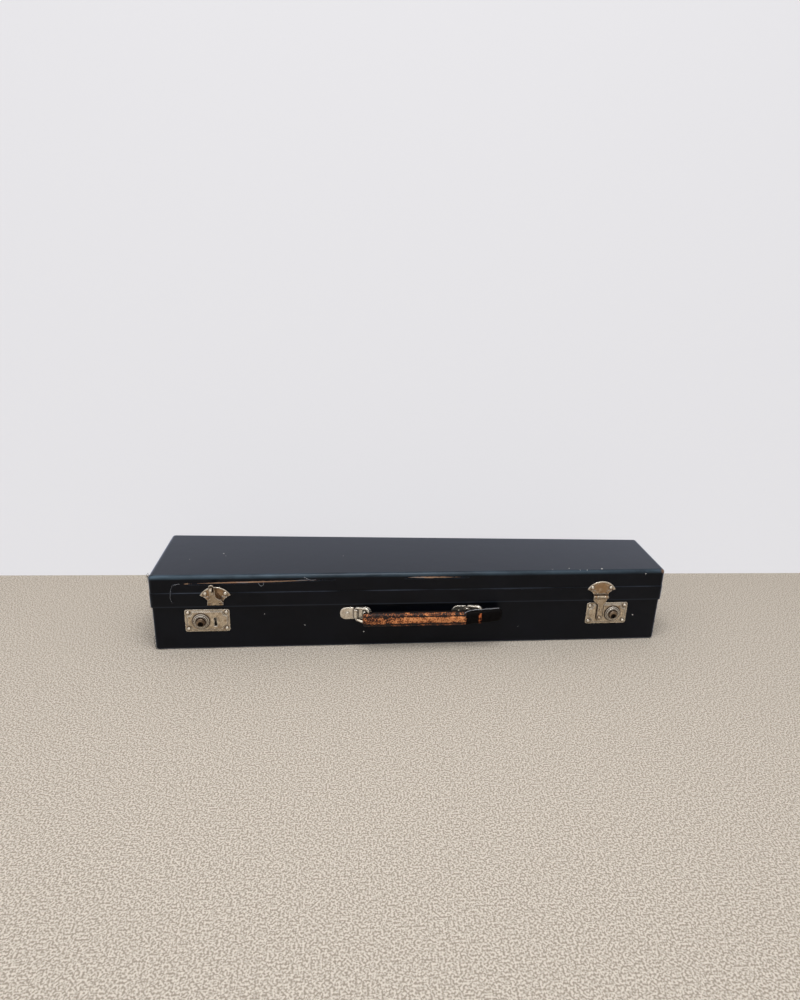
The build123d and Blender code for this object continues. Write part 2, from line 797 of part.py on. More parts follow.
def hasp_axis(side):
    """The line that a hasp's flap turns on, with outward turns positive."""
    corner = section_of(lid_front, hasp_place(side)).from_local_coords((hasp_axis_out, hasp_axis_height, 0))
    return Axis(corner, -lid_front.x_dir)


for side, name in side_names.items():
    opening = left_hasp_opening if side < 0 else 0.0
    save(f"{name}_lock_plate", lock_plate(side))
    save(f"{name}_lock_case", lock_case(side))
    save(f"{name}_lock_plug", lock_plug(side))
    save(f"{name}_lock_bolt", lock_bolt(side))
    save(f"{name}_hasp_plate", hasp_plate(side))
    save(f"{name}_hasp_pin", hasp_pin(side))
    save(f"{name}_hasp_flap", hasp_flap(side).rotate(hasp_axis(side), opening))
    save(f"{name}_hasp_staple", hasp_staple(side).rotate(hasp_axis(side), opening))


# Handle brackets and rings


def handle_bracket(side):
    """Plate with rounded ends and a pressed ridge that holds the ring's straight bar."""
    x = bridge_place(side)
    level = level_of(base_front, bracket_height)
    bore = ring_wire_radius + ring_clearance
    crown = bore + bridge_wall
    notch = 2 * (ring_wire_radius + ring_notch_clearance)
    with BuildPart() as bracket:
        with BuildSketch(base_front):
            with Locations((x, bracket_height)):
                RectangleRounded(bracket_length, bracket_depth, bracket_corner)
                for end in (-1, 1):
                    with Locations((0, end * (bridge_length + bracket_depth) / 4)):
                        Rectangle(notch, (bracket_depth - bridge_length) / 2, mode=Mode.SUBTRACT)
        extrude(amount=bracket_sheet)
        with BuildSketch(level):
            with Locations((x, ring_axis_out)):
                Circle(crown)
            with Locations((x, 0)):
                Rectangle(2 * crown, ring_axis_out, align=(Align.CENTER, Align.MIN))
                Rectangle(2 * crown, crown, align=(Align.CENTER, Align.MAX), mode=Mode.SUBTRACT)
        extrude(amount=bridge_length / 2, both=True)
        with BuildSketch(level):
            with Locations((x, ring_axis_out)):
                Circle(bore)
            with Locations((x, 0)):
                Rectangle(2 * bore, ring_axis_out, align=(Align.CENTER, Align.MIN))
        extrude(amount=bridge_length / 2, both=True, mode=Mode.SUBTRACT)
        drill_rivets(base_front, bracket_rivet_points(side))
    return bracket.part


def handle_ring(side):
    """Wire ring, its straight bar in the bracket and its far bar in the grip, swung out at rest."""
    hinge = level_of(base_front, bracket_height).from_local_coords((bridge_place(side), ring_axis_out, 0))
    outwards = base_front.x_dir * cos(ring_angle) + base_front.z_dir * sin(ring_angle)
    flat = Plane(origin=hinge, x_dir=outwards, z_dir=outwards.cross(Vector(0, 0, 1)))
    with BuildPart() as ring:
        with BuildLine(flat):
            half_path = FilletPolyline((0, 0), (0, ring_near_half_height), (ring_reach, ring_far_half_height),
                                       (ring_reach, 0), radius=[ring_near_bend, ring_far_bend])
        with BuildSketch(Plane(origin=hinge, z_dir=(0, 0, 1))):
            Circle(ring_wire_radius)
        sweep(path=half_path)
        mirror(about=Plane(origin=hinge, z_dir=(0, 0, 1)))
    return ring.part


for side, name in side_names.items():
    save(f"{name}_handle_bracket", handle_bracket(side))
    save(f"{name}_handle_ring", handle_ring(side))

# Grip: a stiff core with an eye round each ring, a leather cover and a leather sleeve at the neck end

grip_ends = [bridge_place(side) + grip_shift for side in (-1, 1)]
core_level = level_of(base_front, bracket_height)
sleeve_start = grip_ends[1] - sleeve_before_eye
sleeve_end = grip_ends[1] + sleeve_past_eye


def clear_the_rings(ends):
    """Cuts away what the rings sweep as the handle swings from one side to the other."""
    slope = tan(ring_angle)
    crest = ring_wire_radius / cos(ring_angle) + sweep_clearance
    foot = grip_back + sweep_clearance
    with BuildSketch(core_level) as swept:
        for x in ends:
            half = (crest + foot) / slope
            Polygon((x, grip_axis_out + crest), (x + half, grip_axis_out - foot),
                    (x - half, grip_axis_out - foot), align=None)
    extrude(swept.sketch, amount=bracket_depth, both=True, mode=Mode.SUBTRACT)


def grip_section(place, heights, thicker=0.0):
    """Rounded section of the grip at a place along it."""
    low, high = heights
    with BuildSketch(section_of(base_front, place)) as section:
        with Locations((grip_axis_out + (grip_front - grip_back) / 2, (low + high) / 2)):
            RectangleRounded(grip_front + grip_back + thicker, high - low + thicker, grip_round)
    return section.sketch


with BuildPart() as grip_core:
    with BuildSketch(core_level):
        with Locations(((grip_ends[0] + grip_ends[1]) / 2, grip_axis_out)):
            SlotCenterToCenter(grip_ends[1] - grip_ends[0], 2 * (ring_wire_radius + grip_wall))
    extrude(amount=grip_core_half_height, both=True)
    with BuildSketch(core_level):
        with Locations(*[(x, grip_axis_out) for x in grip_ends]):
            Circle(ring_wire_radius + ring_clearance)
    extrude(amount=grip_core_half_height, both=True, mode=Mode.SUBTRACT)

core_room = grip_core.part

with BuildPart() as grip_cover:
    loft([grip_section(grip_ends[0] - grip_overlap, grip_cover_heights),
          grip_section(sleeve_start, grip_far_heights)])
    add(core_room, mode=Mode.SUBTRACT)
    clear_the_rings(grip_ends)

with BuildPart() as grip_sleeve:
    loft([grip_section(sleeve_start, grip_far_heights, covering),
          grip_section(sleeve_end, grip_tip_heights, covering)])
    add(core_room, mode=Mode.SUBTRACT)
    clear_the_rings(grip_ends)

save("grip_core", grip_core.part)
save("grip_cover", grip_cover.part)
save("grip_sleeve", grip_sleeve.part)


# Lid hinges


def hinge_barrel(place, start, end):
    """Adds a length of barrel about the lid's hinge line to the part being built."""
    with BuildSketch(section_of(lid_back, place + start)) as barrel:
        with Locations((hinge_axis_out, hinge_axis_height)):
            Circle(hinge_barrel_radius)
    extrude(barrel.sketch, amount=start - end)


def hinge_bore(place):
    with BuildSketch(section_of(lid_back, place)) as bore:
        with Locations((hinge_axis_out, hinge_axis_height)):
            Circle(hinge_pin_radius + hinge_pin_clearance)
    extrude(bore.sketch, amount=hinge_length / 2, both=True, mode=Mode.SUBTRACT)


def base_leaf(place):
    """Leaf on the base, cranked out to its two outer knuckles."""
    half = hinge_length / 2
    gap = hinge_centre_knuckle / 2 + hinge_knuckle_gap
    crank_top = hinge_axis_height - hinge_axis_out
    low = base_height - hinge_leaf_depth
    with BuildPart() as leaf:
        with BuildSketch(section_of(lid_back, place)):
            with BuildLine():
                Polyline((-base_step, low), (-base_step + hinge_sheet, low),
                         (-base_step + hinge_sheet, crank_top - hinge_sheet),
                         (hinge_axis_out, crank_top + hinge_sheet), (hinge_axis_out, hinge_axis_height),
                         (hinge_axis_out - hinge_sheet, hinge_axis_height), (-base_step, crank_top),
                         close=True)
            make_face()
        extrude(amount=half, both=True)
        for end in (-1, 1):
            hinge_barrel(place, end * half, end * gap)
        with BuildSketch(section_of(lid_back, place)):
            with Locations((hinge_axis_out, hinge_axis_height)):
                Circle(hinge_barrel_radius + hinge_knuckle_gap)
            with Locations((-base_step + hinge_sheet, crank_top - hinge_sheet)):
                Rectangle(2 * hinge_axis_out, 2 * hinge_axis_out, align=(Align.MIN, Align.MIN))
        extrude(amount=gap, both=True, mode=Mode.SUBTRACT)
        hinge_bore(place)
        drill_rivets(base_back, base_leaf_rivets)
    return leaf.part


def lid_leaf(place):
    """Leaf on the lid with the centre knuckle."""
    half = hinge_length / 2
    clear = hinge_axis_height + hinge_barrel_radius + hinge_knuckle_gap
    high = lid_rim + hinge_leaf_depth
    with BuildPart() as leaf:
        with BuildSketch(lid_back):
            with Locations((place, (clear + high) / 2)):
                Rectangle(hinge_length, high - clear)
            with Locations((place, (hinge_axis_height + high) / 2)):
                Rectangle(hinge_centre_knuckle, high - hinge_axis_height)
        extrude(amount=hinge_sheet)
        hinge_barrel(place, -hinge_centre_knuckle / 2, hinge_centre_knuckle / 2)
        hinge_bore(place)
        drill_rivets(lid_back, lid_leaf_rivets)
    return leaf.part


def hinge_pin(place):
    with BuildPart() as pin:
        with BuildSketch(section_of(lid_back, place)):
            with Locations((hinge_axis_out, hinge_axis_height)):
                Circle(hinge_pin_radius)
        extrude(amount=hinge_length / 2, both=True)
    return pin.part


for place, name in zip(hinge_places, ("neck_end", "bell_end")):
    save(f"{name}_base_leaf", base_leaf(place))
    save(f"{name}_lid_leaf", lid_leaf(place))
    save(f"{name}_hinge_pin", hinge_pin(place))

# Rivets

all_lock_rivets = [p for side in (-1, 1) for p in lock_rivet_points(side)]
all_bracket_rivets = [p for side in (-1, 1) for p in bracket_rivet_points(side)]

save("lock_plate_rivets", rivets(base_front, lock_sheet, all_lock_rivets))
save("bracket_rivets", rivets(base_front, bracket_sheet, all_bracket_rivets))
save("hasp_plate_rivets", rivets(lid_front, hasp_sheet - fan_rim_depth, lid_front_rivets))
save("base_leaf_rivets", rivets(base_back, hinge_sheet, base_leaf_rivets))
save("lid_leaf_rivets", rivets(lid_back, hinge_sheet, lid_leaf_rivets))
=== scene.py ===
import bmesh
import bpy
import json
import math
from mathutils import Matrix, Vector, noise


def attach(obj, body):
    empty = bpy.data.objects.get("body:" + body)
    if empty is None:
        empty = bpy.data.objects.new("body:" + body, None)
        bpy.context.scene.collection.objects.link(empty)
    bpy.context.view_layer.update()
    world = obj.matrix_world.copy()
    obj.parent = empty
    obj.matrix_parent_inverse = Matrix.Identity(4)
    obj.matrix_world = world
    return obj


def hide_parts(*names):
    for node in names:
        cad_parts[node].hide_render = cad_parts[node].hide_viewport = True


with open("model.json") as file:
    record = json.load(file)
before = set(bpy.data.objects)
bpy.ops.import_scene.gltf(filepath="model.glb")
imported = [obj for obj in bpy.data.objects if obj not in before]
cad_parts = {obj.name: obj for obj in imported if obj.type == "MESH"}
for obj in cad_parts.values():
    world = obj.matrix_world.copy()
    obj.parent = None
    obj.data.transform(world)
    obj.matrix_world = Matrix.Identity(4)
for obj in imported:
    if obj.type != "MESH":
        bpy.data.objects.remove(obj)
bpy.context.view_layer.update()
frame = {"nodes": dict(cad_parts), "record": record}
nodes = frame["nodes"]
record = frame["record"]
scene = bpy.context.scene
print("frame:", len(nodes), "nodes")

# The case's outside, in millimetres: it tapers in plan from the bell end (-X) to the neck end (+X). The
# lid's rim is rounded up to rimTop, and the band round the lid's lower half ends at bandTop.
caseSize = {"length": 700.0, "bellDepth": 142.0, "neckDepth": 110.0, "height": 110.0, "rimTop": 65.2,
            "bandTop": 85.3}
taper = (caseSize["bellDepth"] - caseSize["neckDepth"]) / 2 / caseSize["length"]
slant = math.atan(taper)
meanHalfDepth = (caseSize["bellDepth"] + caseSize["neckDepth"]) / 4


def frontPoint(along, height, out):
    # millimetres along the lid's front, up from the floor and out from it, to a place in metres
    x = along * math.cos(slant) + out * math.sin(slant)
    y = -meanHalfDepth + along * math.sin(slant) - out * math.cos(slant)
    return Vector((x, y, height)) / 1000


def planPoint(inset, across, deep, height):
    # across and deep run from -1 to 1 over the plan, moved in from the outside by inset
    x = across * (caseSize["length"] / 2 - inset)
    y = deep * (meanHalfDepth - taper * x - inset / math.cos(slant))
    return Vector((x, y, height)) / 1000


def linear(hexText):
    # an sRGB hex colour as the linear values that Blender's sockets take
    parts = [int(hexText[i:i + 2], 16) / 255 for i in (1, 3, 5)]
    return [c / 12.92 if c <= 0.04045 else ((c + 0.055) / 1.055) ** 2.4 for c in parts] + [1.0]


def addNode(tree, kind, sockets=None, stops=None, **settings):
    # a socket takes a plain value, a hex colour, a node for that node's first output, or a pair of a node
    # and an output; stops are a ramp's places and colours
    node = tree.nodes.new("ShaderNode" + kind)
    for name, value in settings.items():
        setattr(node, name, value)
    for name, value in (sockets or {}).items():
        source, output = value if isinstance(value, tuple) and len(value) == 2 else (value, 0)
        if isinstance(source, bpy.types.Node):
            tree.links.new(source.outputs[output], node.inputs[name])
        else:
            node.inputs[name].default_value = linear(value) if isinstance(value, str) else value
    if stops:
        points = node.color_ramp.elements
        while len(points) < len(stops):
            points.new(1.0)
        for point, (place, colour) in zip(points, stops):
            point.position = place
            point.color = linear(colour)
    return node


def addNoise(tree, place, spacing, detail, roughness=0.5):
    # noise whose lumps are about spacing millimetres apart, where place is in metres
    return addNode(tree, "TexNoise", {
        "Vector": place, "Scale": 1000 / spacing, "Detail": detail, "Roughness": roughness})


def remap(tree, value, low, high, least=0.0, most=1.0):
    # least where value is low, most where it is high, and even between them
    return addNode(tree, "MapRange", {
        "Value": value, "From Min": low, "From Max": high, "To Min": least, "To Max": most})


def reckon(tree, operation, first, second):
    return addNode(tree, "Math", {0: first, 1: second}, operation=operation)


def mix(tree, amount, under, over):
    return addNode(tree, "MixRGB", {"Fac": amount, "Color1": under, "Color2": over})


def startMaterial(name):
    # with the material and its nodes comes the place that its patterns read
    material = bpy.data.materials.new(name)
    material.use_nodes = True
    tree = material.node_tree
    tree.nodes.clear()
    return material, tree, (addNode(tree, "TexCoord"), "Object")


def endMaterial(tree, shader):
    addNode(tree, "OutputMaterial", {"Surface": shader})


# Camera: the photograph's own viewpoint, worked out from the case's corners
viewpoint = {"place": (-0.0907, -0.8930, 0.5173), "yaw": 4.569, "pitch": 19.995, "roll": 1.85, "lens": 24.86}


def addCamera():
    yaw, pitch, roll = (math.radians(viewpoint[k]) for k in ("yaw", "pitch", "roll"))
    forward = Vector((math.sin(yaw) * math.cos(pitch), math.cos(yaw) * math.cos(pitch), -math.sin(pitch)))
    level = forward.cross(Vector((0, 0, 1))).normalized()
    upright = level.cross(forward)
    right = level * math.cos(roll) + upright * math.sin(roll)
    top = upright * math.cos(roll) - level * math.sin(roll)
    camera = bpy.data.objects.new("camera", bpy.data.cameras.new("camera"))
    camera.data.lens = viewpoint["lens"]
    turn = Matrix((right, top, -forward)).transposed().to_4x4()
    camera.matrix_world = Matrix.Translation(viewpoint["place"]) @ turn
    scene.collection.objects.link(camera)
    scene.camera = camera


addCamera()

# Studio: a pale floor, a pale wall close behind the case, a soft overhead lamp and a bright ceiling
studio = {"floorColour": "#cbc2b5", "floorSpeck": "#92877a", "floorGrit": 1.786, "wallColour": "#e7e6e9",
          "wallGlow": 0.85, "wallPlace": 0.158, "reach": 4.0, "world": 0.86, "ceiling": "#ffffff",
          "horizon": "#bfc4cc"}
lamps = {
    "topLamp": {"place": (0.0, -0.6, 1.9), "aim": (0, 0, 0.05), "size": 0.9, "power": 21},
    "sideLamp": {"place": (-1.9, -1.5, 1.5), "aim": (0, 0, 0.05), "size": 1.4, "power": 8},
}


def makeFloorPaint():
    # Matt emulsion with grit in it: no shine, and specks of a darker tone a couple of millimetres apart
    material, tree, place = startMaterial("matt floor paint")
    speck = addNoise(tree, place, studio["floorGrit"], 3.0)
    tone = addNode(tree, "ValToRGB", {"Fac": speck},
                   [(0.42, studio["floorSpeck"]), (0.58, studio["floorColour"])])
    endMaterial(tree, addNode(tree, "BsdfPrincipled", {"Base Color": tone, "Roughness": 0.95}))
    return material


def makeWallPaint():
    # Matt emulsion, rolled on: one even pale tone. What the camera and the glossy surfaces see of the
    # wall is evenly lit, as the photograph's wall is.
    material, tree, _ = startMaterial("matt wall paint")
    paint = addNode(tree, "BsdfPrincipled", {"Base Color": studio["wallColour"], "Roughness": 0.9})
    glow = addNode(tree, "Emission", {"Color": studio["wallColour"]})
    rays = addNode(tree, "LightPath")
    seen = reckon(tree, "MAXIMUM", (rays, "Is Camera Ray"), (rays, "Is Glossy Ray"))
    even = reckon(tree, "MULTIPLY", seen, studio["wallGlow"])
    lit = addNode(tree, "MixShader", {0: even, 1: paint, 2: glow})
    clear = addNode(tree, "BsdfTransparent")
    side = addNode(tree, "NewGeometry")    # the wall is clear from behind, so it hides nothing
    endMaterial(tree, addNode(tree, "MixShader", {0: (side, "Backfacing"), 1: lit, 2: clear}))
    return material


def addPlane(name, material, place):
    bm = bmesh.new()
    bmesh.ops.create_grid(bm, x_segments=1, y_segments=1, size=studio["reach"], matrix=place)
    plane = bpy.data.objects.new(name, bpy.data.meshes.new(name))
    bm.to_mesh(plane.data)
    bm.free()
    plane.data.materials.append(material)
    scene.collection.objects.link(plane)
    return plane


def addLamps():
    for name, lamp in lamps.items():
        light = bpy.data.lights.new(name, "AREA")
        light.size = lamp["size"]
        light.energy = lamp["power"]
        holder = bpy.data.objects.new(name, light)
        holder.location = lamp["place"]
        aim = Vector(lamp["aim"]) - holder.location
        holder.rotation_euler = aim.to_track_quat("-Z", "Y").to_euler()
        scene.collection.objects.link(holder)


def makeSky():
    # brightest overhead, as a room's ceiling is, and dimmer towards the horizon
    world = bpy.data.worlds.new("studio air")
    world.use_nodes = True
    tree = world.node_tree
    direction = addNode(tree, "TexCoord")
    height = addNode(tree, "SeparateXYZ", {0: (direction, "Generated")})
    sky = addNode(tree, "ValToRGB", {"Fac": (height, 2)},
                  [(0.15, studio["horizon"]), (0.9, studio["ceiling"])])
    background = tree.nodes["Background"]
    tree.links.new(sky.outputs[0], background.inputs["Color"])
    background.inputs["Strength"].default_value = studio["world"]
    scene.world = world


floor = addPlane("floor", makeFloorPaint(), Matrix.Identity(4))
standing = Matrix.Rotation(math.radians(90), 4, "X")
wall = addPlane("wall", makeWallPaint(),
                Matrix.Translation((0, studio["wallPlace"], studio["reach"])) @ standing)
addLamps()
makeSky()
print("camera, floor and lamps set")

# Materials. Patterns read Object coordinates in metres, so a scale of 1000 is one cell to a millimetre, and
# a pattern's named size is its spacing in millimetres.
# of the two greys drawn on the edges, the darker one is wear and painted highlight lines, the lighter one a
# painted highlight along the lid's front upper edge
leathercloth = {"colour": "#040406", "lighter": "#0b0c10", "scuffAndHighlight": "#44474b", "frontHighlight": "#5e6d71",
                "base": "#8a6242", "thread": 1.15, "weave": 0.55, "creases": 18.18, "patches": 62.5,
                "chips": 8.33, "streaks": 12.5, "roughness": 0.36, "uneven": 0.06, "polish": 0.14}
lacquer = {"Specular IOR Level": 0.04, "Specular Tint": "#d0e0ff", "Sheen Weight": 0.72,
           "Sheen Roughness": 0.3, "Sheen Tint": "#c6d9ff", "Coat Weight": 1.0, "Coat Roughness": 0.3,
           "Coat IOR": 1.23, "Coat Tint": "#e4edff"}
# where the covering is drawn lighter, in metres: two level lines round the lid, painted highlights where it
# is also rubbed; its front upper edge, a painted highlight which fades to a share of its strength away
# from the bell end; and one corner that is worn through
highlightLines = {"band": {"height": caseSize["bandTop"] / 1000, "reach": (0.0009, 0.0004), "amount": 0.8},
               "rim": {"height": caseSize["rimTop"] / 1000, "reach": (0.0011, 0.0005), "amount": 0.3}}
highlightedEdge = {"inset": 0.0005, "reach": (0.0058, 0.001), "fade": (-0.13, -0.22), "least": 0.55}
wornCorner = {"place": (0.3475, -0.0538, 0.1085), "reach": (0.0052, 0.0022)}


def weaveRelief(tree, place):
    # the cloth's rib, whose threads run along all three axes so that every side shows two of them, and
    # the shallow creases of the covering. The real threads are 0.3 mm apart; they are drawn wider apart so
    # that they show.
    repeats = 1000 / leathercloth["thread"] * 2 * math.pi / 20    # a wave repeats every 2 pi / 20 at scale 1
    along, level, upright = [
        addNode(tree, "TexWave", {"Vector": place, "Scale": repeats, "Distortion": 0.6,
                                  "Detail": 1.0, "Detail Scale": 4.0}, bands_direction=axis)
        for axis in "XYZ"]
    woof = reckon(tree, "MAXIMUM", (upright, 1), (level, 1))
    cloth = reckon(tree, "MAXIMUM", (along, 1), woof)
    creases = addNoise(tree, place, leathercloth["creases"], 6.0)
    relief = addNode(tree, "Bump", {
        "Strength": leathercloth["weave"], "Distance": 0.00008, "Height": cloth})
    return addNode(tree, "Bump", {
        "Strength": 0.3, "Distance": 0.0012, "Height": creases, "Normal": relief})


def boxEdge(tree):
    # 1 on an edge, which is where the surface faces none of the box's six sides
    facing = addNode(tree, "VectorMath", {0: (addNode(tree, "TexCoord"), "Normal")}, operation="ABSOLUTE")
    sides = addNode(tree, "SeparateXYZ", {0: facing})
    most = reckon(tree, "MAXIMUM", sides, (sides, 1))
    most = reckon(tree, "MAXIMUM", most, (sides, 2))
    return remap(tree, most, 0.985, 0.88)


def levelHighlight(tree, split, line):
    # how strongly a level line round the case is drawn lighter, a painted highlight where it is also rubbed
    above = reckon(tree, "SUBTRACT", (split, 2), line["height"])
    off = addNode(tree, "Math", {0: above}, operation="ABSOLUTE")
    far, near = line["reach"]
    return remap(tree, off, far, near, most=line["amount"])


def paintedEdgeHighlight(tree, place, split, streaky):
    # a painted highlight along the front upper edge of the lid, strongest near the bell end
    front = (math.sin(slant), -math.cos(slant), 0)
    fromFront = addNode(tree, "VectorMath", {0: place, 1: front}, operation="DOT_PRODUCT")
    behind = reckon(tree, "SUBTRACT", (fromFront, "Value"), meanHalfDepth / 1000 - highlightedEdge["inset"])
    below = reckon(tree, "SUBTRACT", (split, 2), caseSize["height"] / 1000)
    across = addNode(tree, "CombineXYZ", {0: behind, 1: below})
    fromEdge = addNode(tree, "VectorMath", {0: across}, operation="LENGTH")
    far, near = highlightedEdge["reach"]
    shoulder = remap(tree, (fromEdge, "Value"), far, near)
    start, end = highlightedEdge["fade"]
    toBell = remap(tree, split, start, end, highlightedEdge["least"])
    frontHighlight = reckon(tree, "MULTIPLY", shoulder, toBell)
    uneven = remap(tree, streaky, 0.3, 0.6, 0.4)
    return reckon(tree, "MULTIPLY", frontHighlight, uneven)


def makeLeathercloth():
    # Black leathercloth: cotton cloth coated with nitrocellulose and embossed by a hot roller. The
    # cloth's threads still show through the coating as a fine rib, it mirrors pale things only at a
    # low angle, and it has a harder shine along the edges, where hands have polished it. Its front
    # upper edge also carries a painted highlight in a lighter bluish grey.
    material, tree, place = startMaterial("black leathercloth")
    split = addNode(tree, "SeparateXYZ", {0: place})
    patches = addNoise(tree, place, leathercloth["patches"], 8.0, 0.62)
    tone = addNode(tree, "ValToRGB", {"Fac": patches},
                   [(0.4, leathercloth["colour"]), (0.75, leathercloth["lighter"])])
    edge = boxEdge(tree)
    chips = addNoise(tree, place, leathercloth["chips"], 9.0, 0.75)
    chipped = remap(tree, chips, 0.52, 1.0)
    wear = reckon(tree, "MULTIPLY", edge, chipped)
    # a painted highlight along the upper edge of the band round the lid, where it is also rubbed, broken in
    # streaks all the way along, and a fainter one along the rim
    drawn = addNode(tree, "Mapping", {"Vector": place, "Scale": (0.25, 1.0, 1.0)})
    streaky = addNoise(tree, drawn, leathercloth["streaks"], 3.0)
    broken = remap(tree, streaky, 0.35, 0.65)
    band = levelHighlight(tree, split, highlightLines["band"])
    streakyBand = reckon(tree, "MULTIPLY", band, broken)
    rim = levelHighlight(tree, split, highlightLines["rim"])
    lines = reckon(tree, "MAXIMUM", streakyBand, rim)
    # worn edges and the painted highlight lines are drawn in the same lighter grey
    shown = reckon(tree, "MAXIMUM", wear, lines)
    scuffedAndLit = mix(tree, shown, tone, leathercloth["scuffAndHighlight"])
    # painted highlight: the lid's front upper edge is drawn in a lighter bluish grey
    frontHighlight = mix(tree, paintedEdgeHighlight(tree, place, split, streaky), scuffedAndLit, leathercloth["frontHighlight"])
    # one corner of the lid is worn through to the brown cloth under the coating
    corner = addNode(tree, "VectorMath", {0: place, 1: wornCorner["place"]}, operation="DISTANCE")
    far, near = wornCorner["reach"]
    inside = remap(tree, (corner, "Value"), far, near)
    patchy = remap(tree, chips, 0.42, 0.55)
    through = reckon(tree, "MULTIPLY", inside, patchy)
    worn = mix(tree, through, frontHighlight, leathercloth["base"])
    gloss = remap(tree, patches, 0.3, 0.7, leathercloth["roughness"] - leathercloth["uneven"],
                  leathercloth["roughness"] + leathercloth["uneven"])
    polished = reckon(tree, "MULTIPLY", edge, leathercloth["polish"])
    polish = reckon(tree, "SUBTRACT", gloss, polished)
    endMaterial(tree, addNode(tree, "BsdfPrincipled", {
        **lacquer, "Base Color": worn, "Roughness": polish, "Normal": weaveRelief(tree, place)}))
    return material


plywood = {"pale": "#e6b793", "dark": "#c08560", "grain": 1.6}


def makePlywood():
    # Birch plywood: rotary-cut veneer, so the grain runs in long soft streaks, and bare where the
    # covering is torn, pinkish tan with darker fibres.
    material, tree, place = startMaterial("bare plywood")
    stretched = addNode(tree, "Mapping", {"Vector": place, "Scale": (0.05, 1.0, 1.0)})
    grain = addNoise(tree, stretched, plywood["grain"], 6.0)
    tone = addNode(tree, "ValToRGB", {"Fac": grain}, [(0.3, plywood["dark"]), (0.55, plywood["pale"])])
    relief = addNode(tree, "Bump", {"Strength": 0.4, "Distance": 0.0003, "Height": grain})
    endMaterial(tree, addNode(tree, "BsdfPrincipled", {
        "Base Color": tone, "Roughness": 0.75, "Normal": relief}))
    return material


plush = {"deep": "#2c0a12", "raised": "#571826", "pile": 0.667, "brushed": 28.6}


def makePlush():
    # Cotton plush: a woven ground with an upright cut pile, dark into the pile and lighter where it is
    # brushed over. Its tufts are drawn wider apart than real ones, so that they show.
    material, tree, place = startMaterial("cotton plush")
    pile = addNoise(tree, place, plush["pile"], 2.0)
    brushed = addNoise(tree, place, plush["brushed"], 4.0)
    both = reckon(tree, "MULTIPLY", pile, brushed)
    tone = addNode(tree, "ValToRGB", {"Fac": both}, [(0.12, plush["deep"]), (0.38, plush["raised"])])
    relief = addNode(tree, "Bump", {"Strength": 0.6, "Distance": 0.0006, "Height": pile})
    endMaterial(tree, addNode(tree, "BsdfPrincipled", {
        "Base Color": tone, "Roughness": 0.95, "Sheen Weight": 0.7, "Sheen Roughness": 0.4,
        "Normal": relief}))
    return material


# corners is how near to a surface another one makes a corner of it, in metres
nickel = {"bright": "#fff8ea", "holeShade": "#150e09", "crevice": "#4a3221", "tarnish": "#6d5434",
          "fan": "#a08160", "clouds": 6.67, "pits": 1.111, "scratches": 0.714, "corners": 0.003}
# each metal's state: how far its patina spreads, how dark its corners are drawn, with grime and painted
# shade, and how dull it is and, where they aren't plainMetal's, how wide its rounded edges and their painted
# highlight are in metres and how deep in a corner the grime and painted shade start
plainMetal = {"dark": None, "edge": 0.0009, "grime": (0.975, 0.7)}
metals = {
    "aged": {"name": "aged nickel plate", "clean": "#cfbfa7", "patina": "#85694c", "spread": (0.4, 0.72),
             "grimeAndShadeAmount": 1.0, "shine": (0.2, 0.42)},
    "rivets": {"name": "nickel-plated rivets", "clean": "#efe7d8", "patina": "#b7a489", "spread": (0.5, 0.8),
               "grimeAndShadeAmount": 0.6, "shine": (0.16, 0.34)},
    "steel": {"name": "drawn steel", "clean": "#a8a49c", "patina": "#6a6258", "spread": (0.45, 0.75),
              "grimeAndShadeAmount": 0.8, "shine": (0.22, 0.42)},
    "plugs": {"name": "bare brass lock plug", "clean": "#a08c76", "patina": "#5c4a3a", "spread": (0.35, 0.6),
              "grimeAndShadeAmount": 0.95, "shine": (0.25, 0.45), "dark": "keyholes"},
    "hasps": {"name": "tarnished nickel plate", "clean": "#dccdb6", "patina": "#967a5a",
              "spread": (0.42, 0.72), "grimeAndShadeAmount": 1.0, "shine": (0.2, 0.42), "dark": "fans", "edge": 0.0018},
    "handles": {"name": "hand-polished nickel plate", "clean": "#ebe3d4", "patina": "#957a5b",
                "spread": (0.46, 0.74), "grimeAndShadeAmount": 0.75, "shine": (0.12, 0.3), "edge": 0.0024},
    "locks": {"name": "pressed nickel plate", "clean": "#d8cab3", "patina": "#85694c", "spread": (0.4, 0.72),
              "grimeAndShadeAmount": 1.0, "shine": (0.18, 0.38), "edge": 0.002, "grime": (0.985, 0.8)},
}
# places on the front that are drawn darker than the rest, the key slots as painted shade and the fans brown:
# along it, up it and out from it, and how far round
darkPlaces = {"keyholes": {"spots": ((-285.2, 41.6, 5.4), (281.2, 41.6, 5.4)), "reach": (0.0043, 0.0034)},
              "fans": {"spots": ((-264.3, 72.15, 1.2), (260.3, 72.15, 1.2)), "reach": (0.0206, 0.0199)}}


def nearest(tree, place, dark):
    # 1 within reach of either spot, 0 outside it
    gaps = [addNode(tree, "VectorMath", {0: place, 1: frontPoint(*spot)}, operation="DISTANCE")
            for spot in dark["spots"]]
    least = reckon(tree, "MINIMUM", (gaps[0], "Value"), (gaps[1], "Value"))
    far, near = dark["reach"]
    return remap(tree, least, far, near)


def plateColour(tree, place, cloud, look):
    # away from corners and edges: clean, warmed by age, pitted where the plating has gone, and on the
    # hasps brown inside the fan's rim
    aged = remap(tree, cloud, look["spread"][0], look["spread"][1])
    tone = mix(tree, aged, look["clean"], look["patina"])
    pits = addNoise(tree, place, nickel["pits"], 2.0)
    pitted = remap(tree, pits, 0.68, 0.74, most=0.7)
    colour = mix(tree, pitted, tone, nickel["tarnish"])
    if look["dark"] == "fans":
        inside = nearest(tree, place, darkPlaces["fans"])
        browned = remap(tree, cloud, 0.3, 0.6, 0.45)
        amount = reckon(tree, "MULTIPLY", inside, browned)
        colour = mix(tree, amount, colour, nickel["fan"])
    return colour


